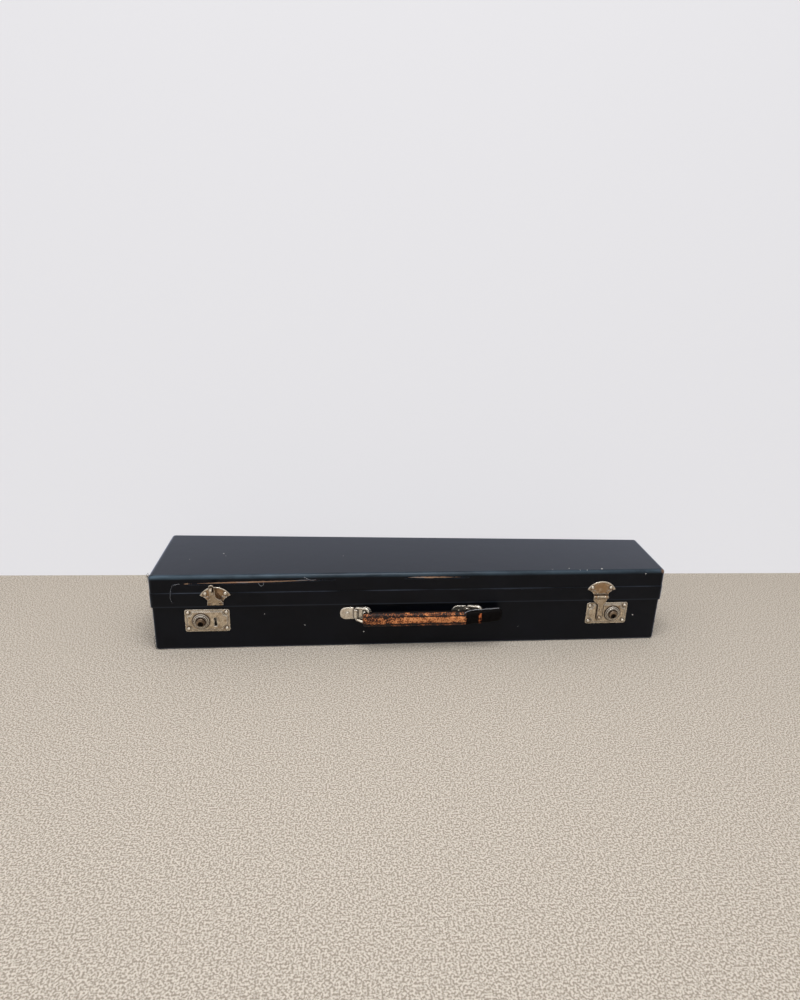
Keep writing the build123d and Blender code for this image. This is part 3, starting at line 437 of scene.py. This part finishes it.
def makeNickel(kind):
    # Nickel plate on pressed brass: it warms to a yellow-grey with age, browns with grime in the corners
    # where polish never reached, darkened further there by painted shade, is painted near black as shade in
    # its deepest hollows, and has a painted highlight along its edges. A pressed sheet has fine random
    # scratches.
    look = {**plainMetal, **metals[kind]}
    material, tree, place = startMaterial(look["name"])
    cloud = addNoise(tree, place, nickel["clouds"], 8.0, 0.7)
    shade = addNode(tree, "AmbientOcclusion", {"Distance": nickel["corners"]}, samples=12)
    # grime and painted shade: brown where ambient occlusion finds a corner
    start, full = look["grime"]
    grimeAndShade = remap(tree, (shade, "AO"), start, full, most=look["grimeAndShadeAmount"])
    grimedAndShaded = mix(tree, grimeAndShade, plateColour(tree, place, cloud, look), nickel["crevice"])
    # painted shade: the deepest hollows are drawn near black
    hole = remap(tree, (shade, "AO"), 0.58, 0.4)
    # painted highlight: away from corners, the edges that the bevel rounds are drawn near white; the bevel
    # also rounds the normals
    rounded = addNode(tree, "Bevel", {"Radius": look["edge"]}, samples=6)
    flat = addNode(tree, "NewGeometry")
    turned = addNode(tree, "VectorMath", {0: rounded, 1: (flat, "Normal")}, operation="DOT_PRODUCT")
    edge = remap(tree, (turned, "Value"), 0.99, 0.88)
    raised = remap(tree, (shade, "AO"), 0.75, 0.92, most=0.95)
    rim = reckon(tree, "MULTIPLY", edge, raised)
    if look["dark"] == "keyholes":
        # painted shade: the plug is drawn black round its key slot, as the slot's shade, with no painted
        # edge highlight there
        slotShade = nearest(tree, place, darkPlaces["keyholes"])
        hole = reckon(tree, "MAXIMUM", hole, slotShade)
        rim = addNode(tree, "Math", {0: rim, 1: slotShade}, operation="SUBTRACT", use_clamp=True)
    holeShaded = mix(tree, hole, grimedAndShaded, nickel["holeShade"])
    edgeHighlighted = mix(tree, rim, holeShaded, nickel["bright"])
    bright, dull = look["shine"]
    gloss = remap(tree, cloud, 0.35, 0.7, bright, dull)
    rough = reckon(tree, "MAXIMUM", gloss, grimeAndShade)
    scratch = addNoise(tree, place, nickel["scratches"], 3.0)
    relief = addNode(tree, "Bump", {
        "Strength": 0.12, "Distance": 0.0002, "Height": scratch, "Normal": rounded})
    endMaterial(tree, addNode(tree, "BsdfPrincipled", {
        "Base Color": edgeHighlighted, "Metallic": 0.9, "Roughness": rough, "Normal": relief}))
    return material


tanLeather = {"light": "#e09962", "tan": "#bd6b38", "brown": "#4d2616", "black": "#120d0c", "crack": 1.15,
              "blots": 6.67, "stretch": 0.85}


def makeTanLeather():
    # Vegetable-tanned cowhide that was dyed black on top: the finish has crazed and rubbed off on the
    # outside of the grip, and stays black in the pores, along both seams and towards the left end.
    material, tree, place = startMaterial("worn tanned leather")
    shape = addNode(tree, "UVMap", uv_map="across")
    split = addNode(tree, "SeparateXYZ", {0: shape})
    drawn = addNode(tree, "Mapping", {"Vector": place, "Scale": (tanLeather["stretch"], 1.0, 1.0)})
    pores = addNoise(tree, drawn, tanLeather["crack"], 3.0, 0.6)
    blots = addNoise(tree, drawn, tanLeather["blots"], 4.0, 0.65)
    both = mix(tree, 0.42, pores, blots)
    # v runs from 0, rubbed bare, to 1, black; the noise has most of its values from 0.38 to 0.62
    keep = remap(tree, (split, 1), 0, 1, 0.36, 0.68)
    bare = reckon(tree, "SUBTRACT", both, keep)
    spread = remap(tree, bare, -0.04, 0.16)
    tone = addNode(tree, "ValToRGB", {"Fac": spread}, [
        (0.08, tanLeather["black"]), (0.24, tanLeather["brown"]), (0.42, tanLeather["tan"]),
        (0.75, tanLeather["light"])])
    relief = addNode(tree, "Bump", {"Strength": 0.8, "Distance": 0.0005, "Height": both})
    endMaterial(tree, addNode(tree, "BsdfPrincipled", {
        "Base Color": tone, "Roughness": 0.58, "Specular IOR Level": 0.3, "Normal": relief}))
    return material


blackLeather = {"black": "#050404", "grey": "#110e0d", "worn": "#c0693c", "brown": "#54281a",
                "craze": 2.38}


def makeBlackLeather():
    # The same cowhide with its black finish left, dull and crazed, and worn to tan over the ring's bar
    material, tree, place = startMaterial("black dressed leather")
    cells = 1000 / blackLeather["craze"]
    crazed = addNode(tree, "TexVoronoi", {"Vector": place, "Scale": cells}, feature="DISTANCE_TO_EDGE")
    mottle = addNode(tree, "TexNoise", {"Vector": place, "Scale": cells, "Detail": 5.0})
    tone = addNode(tree, "ValToRGB", {"Fac": mottle},
                   [(0.4, blackLeather["black"]), (0.75, blackLeather["grey"])])
    shape = addNode(tree, "UVMap", uv_map="across")
    split = addNode(tree, "SeparateXYZ", {0: shape})
    # v is 1 over the ring's bar and 0 away from it
    rough = reckon(tree, "ADD", (split, 1), mottle)
    bare = remap(tree, rough, 1.3, 1.55)
    worn = addNode(tree, "ValToRGB", {"Fac": bare}, [
        (0.0, blackLeather["black"]), (0.35, blackLeather["brown"]), (1.0, blackLeather["worn"])])
    shown = mix(tree, bare, tone, worn)
    relief = addNode(tree, "Bump", {"Strength": 0.5, "Distance": 0.0004, "Height": crazed})
    endMaterial(tree, addNode(tree, "BsdfPrincipled", {
        "Base Color": shown, "Roughness": 0.6, "Specular IOR Level": 0.06, "Normal": relief}))
    return material


# two tones each, and the spacing of a thread's strands
mattTones = {"pale linen thread": ("#8f9096", "#c9cbd0"), "waxed black thread": ("#0c0b0b", "#2a2522"),
             "dried plaster specks": ("#c9c7c2", "#eceae6")}
strandSpacing = 1.111


def makeMatt(name):
    # Linen thread, twisted from strands that catch the light one after another, or dried plaster, which
    # is chalky and mottled: neither has a shine
    material, tree, place = startMaterial(name)
    strands = addNoise(tree, place, strandSpacing, 2.0)
    dark, pale = mattTones[name]
    tone = addNode(tree, "ValToRGB", {"Fac": strands}, [(0.35, dark), (0.65, pale)])
    endMaterial(tree, addNode(tree, "BsdfPrincipled", {"Base Color": tone, "Roughness": 0.85}))
    return material


finishes = {
    "leatherette": makeLeathercloth(),
    "plywood": makePlywood(),
    "plush": makePlush(),
    "worn_nickel": makeNickel("aged"),
    "rivet_metal": makeNickel("rivets"),
    "steel": makeNickel("steel"),
    "tan_leather": makeTanLeather(),
    "black_leather": makeBlackLeather(),
}
handleMetal = makeNickel("handles")
fittings = {"_lock_plug": makeNickel("plugs"), "_hasp_plate": makeNickel("hasps"),
            "_lock_plate": makeNickel("locks"), "_handle_bracket": handleMetal, "_handle_ring": handleMetal}
paleThread = makeMatt("pale linen thread")
darkThread = makeMatt("waxed black thread")
plaster = makeMatt("dried plaster specks")

for part in record["subparts"]:
    piece = nodes[part["node"]]
    piece.data.materials.clear()
    piece.data.materials.append(finishes[part["material_slot"]])
for side in ("left", "right"):
    for ending, metal in fittings.items():
        nodes[side + ending].data.materials[0] = metal
# the grip's core shows only from behind, and nothing has rubbed it
nodes["grip_core"].data.materials[0] = finishes["black_leather"]
print("materials made and given to the carried-over nodes")


def addPiece(name, bm, material, body, toFront=True):
    if toFront:
        for v in bm.verts:
            v.co = frontPoint(*v.co)
    for face in bm.faces:
        face.smooth = True
    piece = bpy.data.objects.new(name, bpy.data.meshes.new(name))
    bm.to_mesh(piece.data)
    bm.free()
    piece.data.materials.append(material)
    scene.collection.objects.link(piece)
    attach(piece, body)
    return piece


def wobble(point, size, seed):
    # smooth unevenness between -1 and 1 with lumps of about size millimetres
    return noise.noise(Vector(point) / size + Vector((seed, seed * 0.7, -seed)))


# Grip: leather wrapped round a stiff core and stitched along both edges. Out is measured from the
# lid's front, and the rings' bars stand at the two eyes.
grip = {"start": -70.6, "coverEnd": 70.4, "tip": 119.6, "eyes": (-63.25, 89.75), "axisOut": 9.5,
        "front": 6.25, "back": 4.75, "startHeights": (37.3, 56.8), "joinHeights": (37.7, 56.6),
        "tipHeights": (43.5, 61.7), "squareness": 3.4, "ringSlope": math.tan(math.radians(30)),
        "ringCrest": 2.75, "endShare": 0.45}
# where each skin runs, the radii its ends are rounded to, how far it stands off the core, its mesh's rings
skins = {"gripCover": {"ends": (grip["start"], grip["coverEnd"]), "rounds": (4.0, 1.2), "extra": 0.0,
                       "rings": 190},
         "gripSleeve": {"ends": (69.0, grip["tip"]), "rounds": (1.0, 9.0), "extra": 0.35, "rings": 90}}
# the seams along the cover's edges: 1 is the upper one, -1 the lower
seams = {"insets": {1: 3.7, -1: 4.6}, "deep": 0.55, "wide": 0.8, "swell": 0.35, "swellWide": 5.0,
         "pitch": 3.1, "from": 6.0, "until": 3.0, "stitch": (1.15, 0.34, 0.3), "lean": 4.0, "sunk": 0.25}
# the sleeve over the ring's bar, and the creases pressed into it: place, depth and width
overBar = {"place": grip["eyes"][1] - 1.2, "swell": 0.7, "wide": 2.6,
           "creases": ((83.5, 0.5, 1.2), (94.0, 0.4, 1.5))}
# how much of its black the cover keeps: along its middle, beyond each seam, in the seams, towards the left
# end, and all of it on the back
blackLeft = {"middle": 0.27, "beyond": {1: 0.19, -1: 0.24}, "fade": 0.5, "seam": 0.95, "seamWide": 0.9,
             "leftEnd": 0.15, "leftFrom": -12.0, "leftOver": 30.0, "backFrom": 0.1, "backOver": 0.3}
# where the sleeve's black is worn away: its middle, half its length, its heights, and what is bare past them
bareSleeve = {"place": 88.6, "reach": 3.2, "heights": (-8.5, 7.6), "outside": 0.3, "front": 1.6}
# unevenness of the leather: how high, how wide and its seed
gripLumps = ((0.30, 9, 3), (0.16, 2.6, 8))


def gripHeights(along):
    # lowest and highest point of the grip at a place along it
    if along < grip["coverEnd"]:
        t = (along - grip["start"]) / (grip["coverEnd"] - grip["start"])
        ends = grip["startHeights"], grip["joinHeights"]
    else:
        t = (along - grip["coverEnd"]) / (grip["tip"] - grip["coverEnd"])
        ends = grip["joinHeights"], grip["tipHeights"]
    return [a + (b - a) * t for a, b in zip(*ends)]


def gripPoint(along, angle, share, extra):
    # a point of the grip's skin: share shrinks the section near a rounded end
    low, high = gripHeights(along)
    bend = 2 / grip["squareness"]
    c, s = math.cos(angle), math.sin(angle)
    halfOut = (grip["front"] + grip["back"]) / 2 + extra
    halfHigh = (high - low) / 2 + extra
    out = math.copysign(abs(c) ** bend, c) * halfOut * share
    up = math.copysign(abs(s) ** bend, s) * halfHigh * share
    middle = grip["axisOut"] + (grip["front"] - grip["back"]) / 2
    return out, up, middle, (low + high) / 2, halfHigh


def clearOfRings(along, out):
    # the rings' arms swing behind the grip from one side to the other, so it is cut back to a V there
    for eye in grip["eyes"]:
        reach = grip["axisOut"] + grip["ringCrest"] - abs(along - eye) * grip["ringSlope"]
        out = max(out, reach)
    return out


def hump(distance, width, power=2):
    # 1 in the middle, falling to nothing past its width
    return math.exp(-(distance / width) ** power)


def clamp(value):
    return max(0.0, min(1.0, value))


def coverLump(along, up, turned, halfHigh):
    # the cover swells along its middle and is drawn in at both seams
    lump = seams["swell"] * hump(up, seams["swellWide"])
    for side, inset in seams["insets"].items():
        lump -= seams["deep"] * hump(up - side * (halfHigh - inset), seams["wide"])
    return lump * max(0.0, turned)


def sleeveLump(along, up, turned, halfHigh):
    # the ring's bar pushes the sleeve out, and the leather is creased on both sides of it
    lump = overBar["swell"] * hump(along - overBar["place"], overBar["wide"]) * max(0.0, turned)
    for place, depth, width in overBar["creases"]:
        lump -= depth * hump(along - place, width)
    return lump


def coverWear(along, up, turned, halfHigh):
    # how much black is left: least along the middle, most in the seams and on the back
    side = 1 if up > 0 else -1
    fromSeam = abs(up) - halfHigh + seams["insets"][side]
    black = blackLeft["middle"] + blackLeft["beyond"][side] / (1 + math.exp(-fromSeam / blackLeft["fade"]))
    black += blackLeft["leftEnd"] * clamp((blackLeft["leftFrom"] - along) / blackLeft["leftOver"])
    black = max(black, blackLeft["seam"] * hump(fromSeam, blackLeft["seamWide"]))
    return min(1.0, black + clamp((blackLeft["backFrom"] - turned) / blackLeft["backOver"]))


def sleeveWear(along, up, turned, halfHigh):
    # 1 over the ring's bar, where the black has worn away
    low, high = bareSleeve["heights"]
    bare = hump(along - bareSleeve["place"], bareSleeve["reach"], power=4)
    bare *= clamp(turned * bareSleeve["front"])
    return bare if low < up < high else bare * bareSleeve["outside"]


def makeGripSkin(name, material, lumpAt, wearAt):
    skin = skins[name]
    start, end = skin["ends"]
    bm = bmesh.new()
    bmesh.ops.create_cone(bm, cap_ends=True, segments=48, radius1=1, radius2=1, depth=1,
                          matrix=Matrix.Rotation(math.radians(90), 4, "Y"))
    longEdges = [e for e in bm.edges if abs(e.verts[0].co.x - e.verts[1].co.x) > 0.5]
    bmesh.ops.subdivide_edges(bm, edges=longEdges, cuts=skin["rings"])
    across = bm.loops.layers.uv.new("across")
    marks = {}    # u runs from the grip's middle to its edges, v is the wear
    for v in bm.verts:
        along = start + (v.co.x + 0.5) * (end - start)
        angle = math.atan2(v.co.z, v.co.y)
        share = 1.0
        for gap, radius in zip((along - start, end - along), skin["rounds"]):
            if gap < radius:
                rounded = math.sqrt(max(0.0, 1 - ((radius - gap) / radius) ** 2))
                share = min(share, grip["endShare"] + (1 - grip["endShare"]) * rounded)
        out, up, middle, level, halfHigh = gripPoint(along, angle, share, skin["extra"])
        turned = math.cos(angle)    # 1 towards the front, -1 towards the case
        lump = lumpAt(along, up, turned, halfHigh)
        lump += sum(high * wobble((along, up, out), wide, seed) for high, wide, seed in gripLumps)
        size = math.hypot(out, up) or 1.0
        out, up = out * (1 + lump / size), up * (1 + lump / size)
        marks[v] = (min(1.0, abs(up) / halfHigh), wearAt(along, up, turned, halfHigh))
        v.co = Vector((along, level + up, clearOfRings(along, middle + out)))
    for face in bm.faces:
        for loop in face.loops:
            loop[across].uv = marks[loop.vert]
    bmesh.ops.recalc_face_normals(bm, faces=bm.faces)
    piece = addPiece(name, bm, material, "grip")
    return piece


gripCover = makeGripSkin("gripCover", finishes["tan_leather"], coverLump, coverWear)
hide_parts("grip_cover")
gripSleeve = makeGripSkin("gripSleeve", finishes["black_leather"], sleeveLump, sleeveWear)
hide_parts("grip_sleeve")


def makeStitches():
    bm = bmesh.new()
    for side, inset in seams["insets"].items():
        along = grip["start"] + seams["from"]
        while along < grip["coverEnd"] - seams["until"]:
            low, high = gripHeights(along)
            level = (low + high) / 2 + side * ((high - low) / 2 - inset)
            place = Matrix.Translation((along, level, grip["axisOut"] + grip["front"] - seams["sunk"]))
            lean = Matrix.Rotation(math.radians(side * seams["lean"]), 4, "Z")
            bmesh.ops.create_uvsphere(bm, u_segments=8, v_segments=6, radius=1.0,
                                      matrix=place @ lean @ Matrix.Diagonal((*seams["stitch"], 1)))
            along += seams["pitch"]
    addPiece("gripStitches", bm, darkThread, "grip")


makeStitches()


def lineMesh(kind, places, radius=0.0, sides=3):
    # the mesh of a round line through places in metres, or of the bare line where it has no radius
    line = bpy.data.curves.new("line", "CURVE")
    line.dimensions = "3D"
    line.bevel_depth = radius / 1000
    line.bevel_resolution = sides
    line.use_fill_caps = True
    spline = line.splines.new(kind)
    spline.points.add(len(places) - 1)
    for point, place in zip(spline.points, places):
        point.co = (*place, 1.0)
    spline.order_u = 3
    spline.use_endpoint_u = True
    holder = bpy.data.objects.new("line", line)
    scene.collection.objects.link(holder)
    bpy.context.view_layer.update()
    mesh = bpy.data.meshes.new_from_object(holder.evaluated_get(bpy.context.evaluated_depsgraph_get()))
    bpy.data.objects.remove(holder)
    return mesh


def addLine(bm, kind, places, radius, sides=3):
    mesh = lineMesh(kind, places, radius, sides)
    bm.from_mesh(mesh)
    bpy.data.meshes.remove(mesh)


# the route of the loose thread over the sleeve: along the front, up from the floor and out from it
looseThread = {"route": ((67, 56.9, 15.3), (70, 58.6, 13.8), (76, 59.3, 12.6), (83, 60, 11.8),
                         (91, 60.2, 12.2), (98, 60.9, 11.6), (105, 61, 12.2), (110, 61.7, 11.8),
                         (114.5, 62.1, 12.4)),
               "strand": 0.17, "apart": 0.15, "twist": 2.4}


def makeLooseThread():
    # two strands twisted round each other, which follow the route's own spline
    route = lineMesh("NURBS", [frontPoint(*spot) for spot in looseThread["route"]])
    middle = [v.co.copy() for v in route.vertices]
    bpy.data.meshes.remove(route)
    bm = bmesh.new()
    for side in (0, math.pi):
        run = 0.0
        strand = []
        for i, co in enumerate(middle):
            run += (co - middle[i - 1]).length * 1000 if i else 0
            angle = side + 2 * math.pi * run / looseThread["twist"]
            strand.append(co + Vector((0, math.cos(angle), math.sin(angle))) * looseThread["apart"] / 1000)
        addLine(bm, "POLY", strand, looseThread["strand"], sides=4)
    addPiece("looseThread", bm, paleThread, "grip", toFront=False)


makeLooseThread()
print("grip made")

# The torn covering. Each tear has its left end, its length and the heights of its ends, in millimetres
# on the front; the lid's covering lies half a millimetre behind the band round its lower half.
torn = {"tears": ((-300, 195, 98.8, 102.4), (-16, 90, 103.6, 103.5)), "width": 2.6, "lip": 1.5,
        "ragged": 0.7, "lift": 0.22, "curl": (0.12, 0.5), "surface": -0.5, "cloth": 0.25}


def tearShape(t):
    # half the tear's width at a share t of its length: it is widest a third of the way along it
    return torn["width"] / 2 * math.sin(math.pi * t ** 0.63)


def makeTornLips():
    # loose ragged edges of the covering, lifted along both sides of each tear
    bm = bmesh.new()
    for number, (start, length, low, high) in enumerate(torn["tears"]):
        for side in (-1, 1):
            made = bmesh.ops.create_grid(bm, x_segments=int(length * 1.3), y_segments=4, size=1)
            for v in made["verts"]:
                t = 0.01 + 0.98 * (v.co.x + 1) / 2
                loose = (1 - side * v.co.y) / 2    # 1 at the loose edge, 0 where it is still glued
                along = start + length * t
                middle = low + (high - low) * t
                rag = abs(wobble((along, side * 30, 0), 3.4, 11 + number))
                rag += 0.5 * abs(wobble((along, side * 30, 0), 1.1, 17 + number))
                reach = min(torn["ragged"] * rag, tearShape(t) * 1.1)
                far = middle + side * (tearShape(t) + torn["lip"])
                near = middle + side * (tearShape(t) - reach)
                least, most = torn["curl"]
                curl = least + most * max(0.0, wobble((along, side * 20, 4), 7, 5 + number))
                out = torn["surface"] - 0.1 + loose ** 1.5 * (torn["lift"] + curl)
                v.co = Vector((along, far + (near - far) * loose, out))
    bmesh.ops.recalc_face_normals(bm, faces=bm.faces)
    bmesh.ops.solidify(bm, geom=bm.faces, thickness=torn["cloth"])
    addPiece("tornLips", bm, finishes["leatherette"], "lid")


# the peeled flap's loose edge, then how wide it is, how deep its glued side lies under the covering, how
# far it stands off at its ends and in its middle, how uneven it is and how high the band's step is drawn
peeled = {"edge": ((-317.6, 98.6), (-319.6, 93.5), (-321, 87), (-321.9, 80.4), (-321.2, 75),
                   (-319.9, 71.6)),
          "width": 5.0, "depth": 0.45, "least": 0.5, "lift": 0.9, "waves": 0.2, "ragged": 0.5, "step": 1.6}


def makePeeledFlap():
    # the covering has come away at the left end of the lid and stands off along one edge; below the
    # band's upper edge it steps out with the band
    bm = bmesh.new()
    bmesh.ops.create_grid(bm, x_segments=8, y_segments=50, size=1)
    line = peeled["edge"]
    for v in bm.verts:
        t = (1 - v.co.y) / 2 * (len(line) - 1)
        i = min(int(t), len(line) - 2)
        x = line[i][0] + (line[i + 1][0] - line[i][0]) * (t - i)
        height = line[i][1] + (line[i + 1][1] - line[i][1]) * (t - i)
        loose = (1 - v.co.x) / 2
        share = math.sin(math.pi * clamp(t / (len(line) - 1)))
        step = clamp((caseSize["bandTop"] - height) / peeled["step"] + 0.5)
        surface = torn["surface"] * (1 - step) - peeled["depth"]
        waves = peeled["waves"] * wobble((x, height, 0), 5, 9)
        lift = loose * (peeled["least"] + peeled["lift"] * loose * share + waves)
        ragged = peeled["ragged"] * wobble((x, height, 3), 2.2, 4) * loose
        v.co = Vector((x + peeled["width"] * (1 - loose) + ragged, height, surface + lift))
    bmesh.ops.recalc_face_normals(bm, faces=bm.faces)
    bmesh.ops.solidify(bm, geom=bm.faces, thickness=torn["cloth"])
    addPiece("peeledFlap", bm, finishes["leatherette"], "lid")


makeTornLips()
makePeeledFlap()

# loose fibres and frays: each is a smooth line near points along the front, up from the floor and out
# from it, and all of a kind are one piece
fibres = {
    "paleFibres": {"body": "lid", "material": paleThread, "radius": 0.14, "paths": (
        ((-208.3, 99.3, -0.2), (-206.6, 96.4, 0.7), (-204.6, 94.8, 1.2), (-202.2, 95.4, 0.9),
         (-200.6, 98.4, 0.3), (-201.4, 100.6, -0.2)),
        ((-148.3, 106.4, -0.9), (-146.5, 105.6, 0.2), (-143.1, 104.1, 0.9), (-139.2, 101.8, 0.6),
         (-133, 102.6, -0.2)),
        ((-158, 101, -0.3), (-152.5, 102.9, 0.5), (-147, 102.4, 0.8), (-141, 103.4, 0.3)),
        ((-236, 100.2, -0.3), (-228, 99.2, 0.4), (-221, 100.3, 0.2)),
        ((-6, 103.9, -0.3), (4, 104.6, 0.3), (12, 103.8, 0.2)))},
    "flapFibres": {"body": "lid", "material": paleThread, "radius": 0.08, "paths": (
        ((-309, 98.9, -0.2), (-316.8, 98.3, 0.3), (-319.8, 94, 0.55), (-321.4, 87.5, 0.75),
         (-322.2, 80.4, 1), (-321.5, 75.2, 0.9), (-320.1, 71.8, 0.3)),)},
    "bareEdge": {"body": "lid", "material": finishes["plywood"], "slot": "plywood", "radius": 0.2, "paths": (
        ((-303, 98.7, -0.6), (-300, 98.9, -0.45), (-297, 98.9, -0.45), (-293, 99.1, -0.6)),)},
    "lidFrays": {"body": "lid", "material": darkThread, "radius": 0.26, "paths": (
        ((-349, 105.5, -3), (-350.6, 109, -3.6), (-350.2, 111.6, -5.2), (-348.4, 112.2, -6.4)),
        ((-348, 107.6, -2.2), (-349, 110.4, -2.4), (-347.4, 112, -3.6)),
        ((-348.6, 106.5, -4.4), (-350.4, 108.4, -5.6), (-350.9, 107.6, -7.6), (-349.8, 105.6, -8.4)),
        ((-347.2, 108.8, -3.4), (-346.4, 110.9, -2.6), (-344.4, 111.2, -2.9), (-342.6, 110, -3.8)),
        ((-349.2, 104.6, -2.8), (-350.4, 102.6, -1.9), (-350.2, 100.2, -2)))},
    "baseFrays": {"body": "base", "material": darkThread, "radius": 0.26, "paths": (
        ((-346.8, 21, -3.6), (-348.9, 19, -2.6), (-349.4, 17, -2.4)),
        ((-346.9, 17.5, -3.2), (-349, 15.4, -2.8), (-348.6, 12.8, -2.4)),
        ((-347, 12.5, -3.4), (-349.2, 11, -3.4), (-349.6, 8.6, -3)),
        ((-347, 8.4, -3.2), (-348.8, 6.4, -2.6), (-348, 4.6, -2.2)),
        ((-346.6, 5.4, -3.4), (-348.2, 2.6, -2.8), (-346.4, 1.2, -2.4)),
        ((-344, 3.4, -2.8), (-343, 1.4, -1.9), (-340.6, 1, -1.6)))},
    "neckFrays": {"body": "base", "material": darkThread, "radius": 0.26, "paths": (
        ((345.4, 30, -3.6), (347.4, 28.4, -2.8), (347.6, 26, -2.9)),
        ((345.5, 14.6, -3.4), (347.6, 13, -3), (347.2, 10.6, -2.6)),
        ((345.2, 7, -3.2), (346.8, 4.4, -2.6), (345.6, 2.4, -2.4)))},
}


def makeFibres(name, body, material, radius, paths, slot="leatherette"):
    bm = bmesh.new()
    for path in paths:
        addLine(bm, "NURBS", [frontPoint(*spot) for spot in path], radius)
    addPiece(name, bm, material, body, toFront=False)


# flecks of dried plaster: along the front, up it, out from the covering they stick to, and radius
flecks = {
    "base": ((-148.3, 33.5, -2.1, 0.55), (-68.5, 21.5, -2.1, 0.85), (312.4, 39.5, -2.1, 0.8),
             (-201.7, 51.6, -2.1, 0.45), (-96, 58, -2.1, 0.3), (148, 24, -2.1, 0.3)),
    "lid": ((321.2, 104.4, -0.6, 0.8), (259.8, 109.95, -6.5, 1.1), (214, 109.95, -9, 0.6),
            (190, 109.95, -7.5, 0.45), (-262, 109.95, -70, 0.8), (-258, 109.95, -62, 0.4),
            (-305, 109.95, -52, 0.4), (-96, 109.95, -58, 0.4), (36, 101.6, -0.6, 0.35),
            (238, 109.6, -4, 0.7), (228, 109.6, -4.2, 0.5)),
}


def makeFlecks(body):
    bm = bmesh.new()
    for number, (along, height, out, radius) in enumerate(flecks[body]):
        onTop = height > caseSize["height"] - 1
        flatOn = (1, 0.55, 1) if onTop else (1, 1, 0.55)
        turn = Matrix.Rotation(number * 1.3, 4, "Y" if onTop else "Z")
        made = bmesh.ops.create_icosphere(bm, subdivisions=2, radius=radius, matrix=Matrix.Translation(
            (along, height, out)) @ turn @ Matrix.Diagonal((*flatOn, 1)))
        for v in made["verts"]:
            v.co += Vector((wobble(v.co, 0.7, 3), wobble(v.co, 0.7, 6), 0)) * radius * 0.35
    addPiece(body + "Flecks", bm, plaster, body)


for name, fibre in fibres.items():
    makeFibres(name, **fibre)
for body in flecks:
    makeFlecks(body)
print("torn edges, fibres and flecks made")

# Lining: pads and cloth inside the base and the lid. Insets and heights are the spaces they fill; padSpan
# has half a pad's length and depth, for its border and its waves, and how wide its edge is rounded.
padSpan = {"along": 340.0, "deep": 55.0, "waveDeep": 60.0, "rounding": 7.0}
padSpaces = {
    "floorPad": {"replaces": "base_floor_lining", "body": "base", "inset": 9.9, "heights": (5.85, 8.75),
                 "crown": 0.5, "fill": 0.3, "cuts": 44},
    "lidPad": {"replaces": "lid_top_lining", "body": "lid", "inset": 8.5, "heights": (104.15, 99.4),
               "crown": 1.6, "fill": 0.6, "cuts": 48},
}


def makePad(name):
    # a flat pad glued on one face, with a soft crowned face and rounded edges on the other
    space = padSpaces[name]
    bm = bmesh.new()
    bmesh.ops.create_cube(bm, size=2)
    bmesh.ops.subdivide_edges(bm, edges=bm.edges, cuts=space["cuts"], use_grid_fill=True)
    glued, soft = space["heights"]
    thick = soft - glued
    sign = math.copysign(1, thick)
    for v in bm.verts:
        across, deep, level = v.co
        lift = (level + 1) / 2
        border = min((1 - abs(across)) * padSpan["along"], (1 - abs(deep)) * padSpan["deep"])
        edge = min(1.0, border / padSpan["rounding"])
        rounded = 1 - (1 - math.sqrt(max(0.0, 1 - (1 - edge) ** 2))) * 0.5 * lift
        spot = (across * padSpan["along"], deep * padSpan["waveDeep"], 0)
        waves = 0.5 * wobble(spot, 38, 5) + 0.2 * wobble(spot, 9, 2)
        top = thick * rounded - sign * space["crown"] * (0.45 + 0.45 * waves) * (1.0 if lift > 0 else 0)
        height = glued + top * lift
        v.co = planPoint(space["inset"] + 0.8 * (1 - edge) * lift, across, deep, height)
    if sign < 0:
        bmesh.ops.reverse_faces(bm, faces=bm.faces)
    piece = addPiece(name, bm, finishes["plush"], space["body"], toFront=False)
    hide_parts(space["replaces"])


wallSpaces = {
    "baseWallCloth": {"replaces": "base_wall_lining", "body": "base", "inset": 9.9, "heights": (8.9, 47.9)},
    "lidWallCloth": {"replaces": "lid_wall_lining", "body": "lid", "inset": 8.4, "heights": (70.4, 99.1)},
}
wallCloth = {"thickness": 1.3, "gap": 0.12, "sag": 0.12}


def makeWallCloth(name):
    # one strip of plush glued round the inside of the walls
    space = wallSpaces[name]
    low, high = space["heights"]
    bm = bmesh.new()
    bmesh.ops.create_cube(bm, size=2)
    ends = [f for f in bm.faces if abs(f.normal.z) > 0.5]
    bmesh.ops.delete(bm, geom=ends, context="FACES_ONLY")
    bmesh.ops.subdivide_edges(bm, edges=bm.edges, cuts=36, use_grid_fill=True)
    for v in bm.verts:
        across, deep, level = v.co
        height = low + (level + 1) / 2 * (high - low)
        spot = (across * padSpan["along"], deep * padSpan["waveDeep"], height)
        sag = wallCloth["gap"] + wallCloth["sag"] * wobble(spot, 20, 7)
        v.co = planPoint(space["inset"] + sag, across, deep, height)
    bmesh.ops.recalc_face_normals(bm, faces=bm.faces)
    bmesh.ops.solidify(bm, geom=bm.faces, thickness=wallCloth["thickness"] / 1000)
    piece = addPiece(name, bm, finishes["plush"], space["body"], toFront=False)
    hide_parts(space["replaces"])


for name in padSpaces:
    makePad(name)
for name in wallSpaces:
    makeWallCloth(name)
print("lining made")

scene.view_settings.view_transform = "Standard"
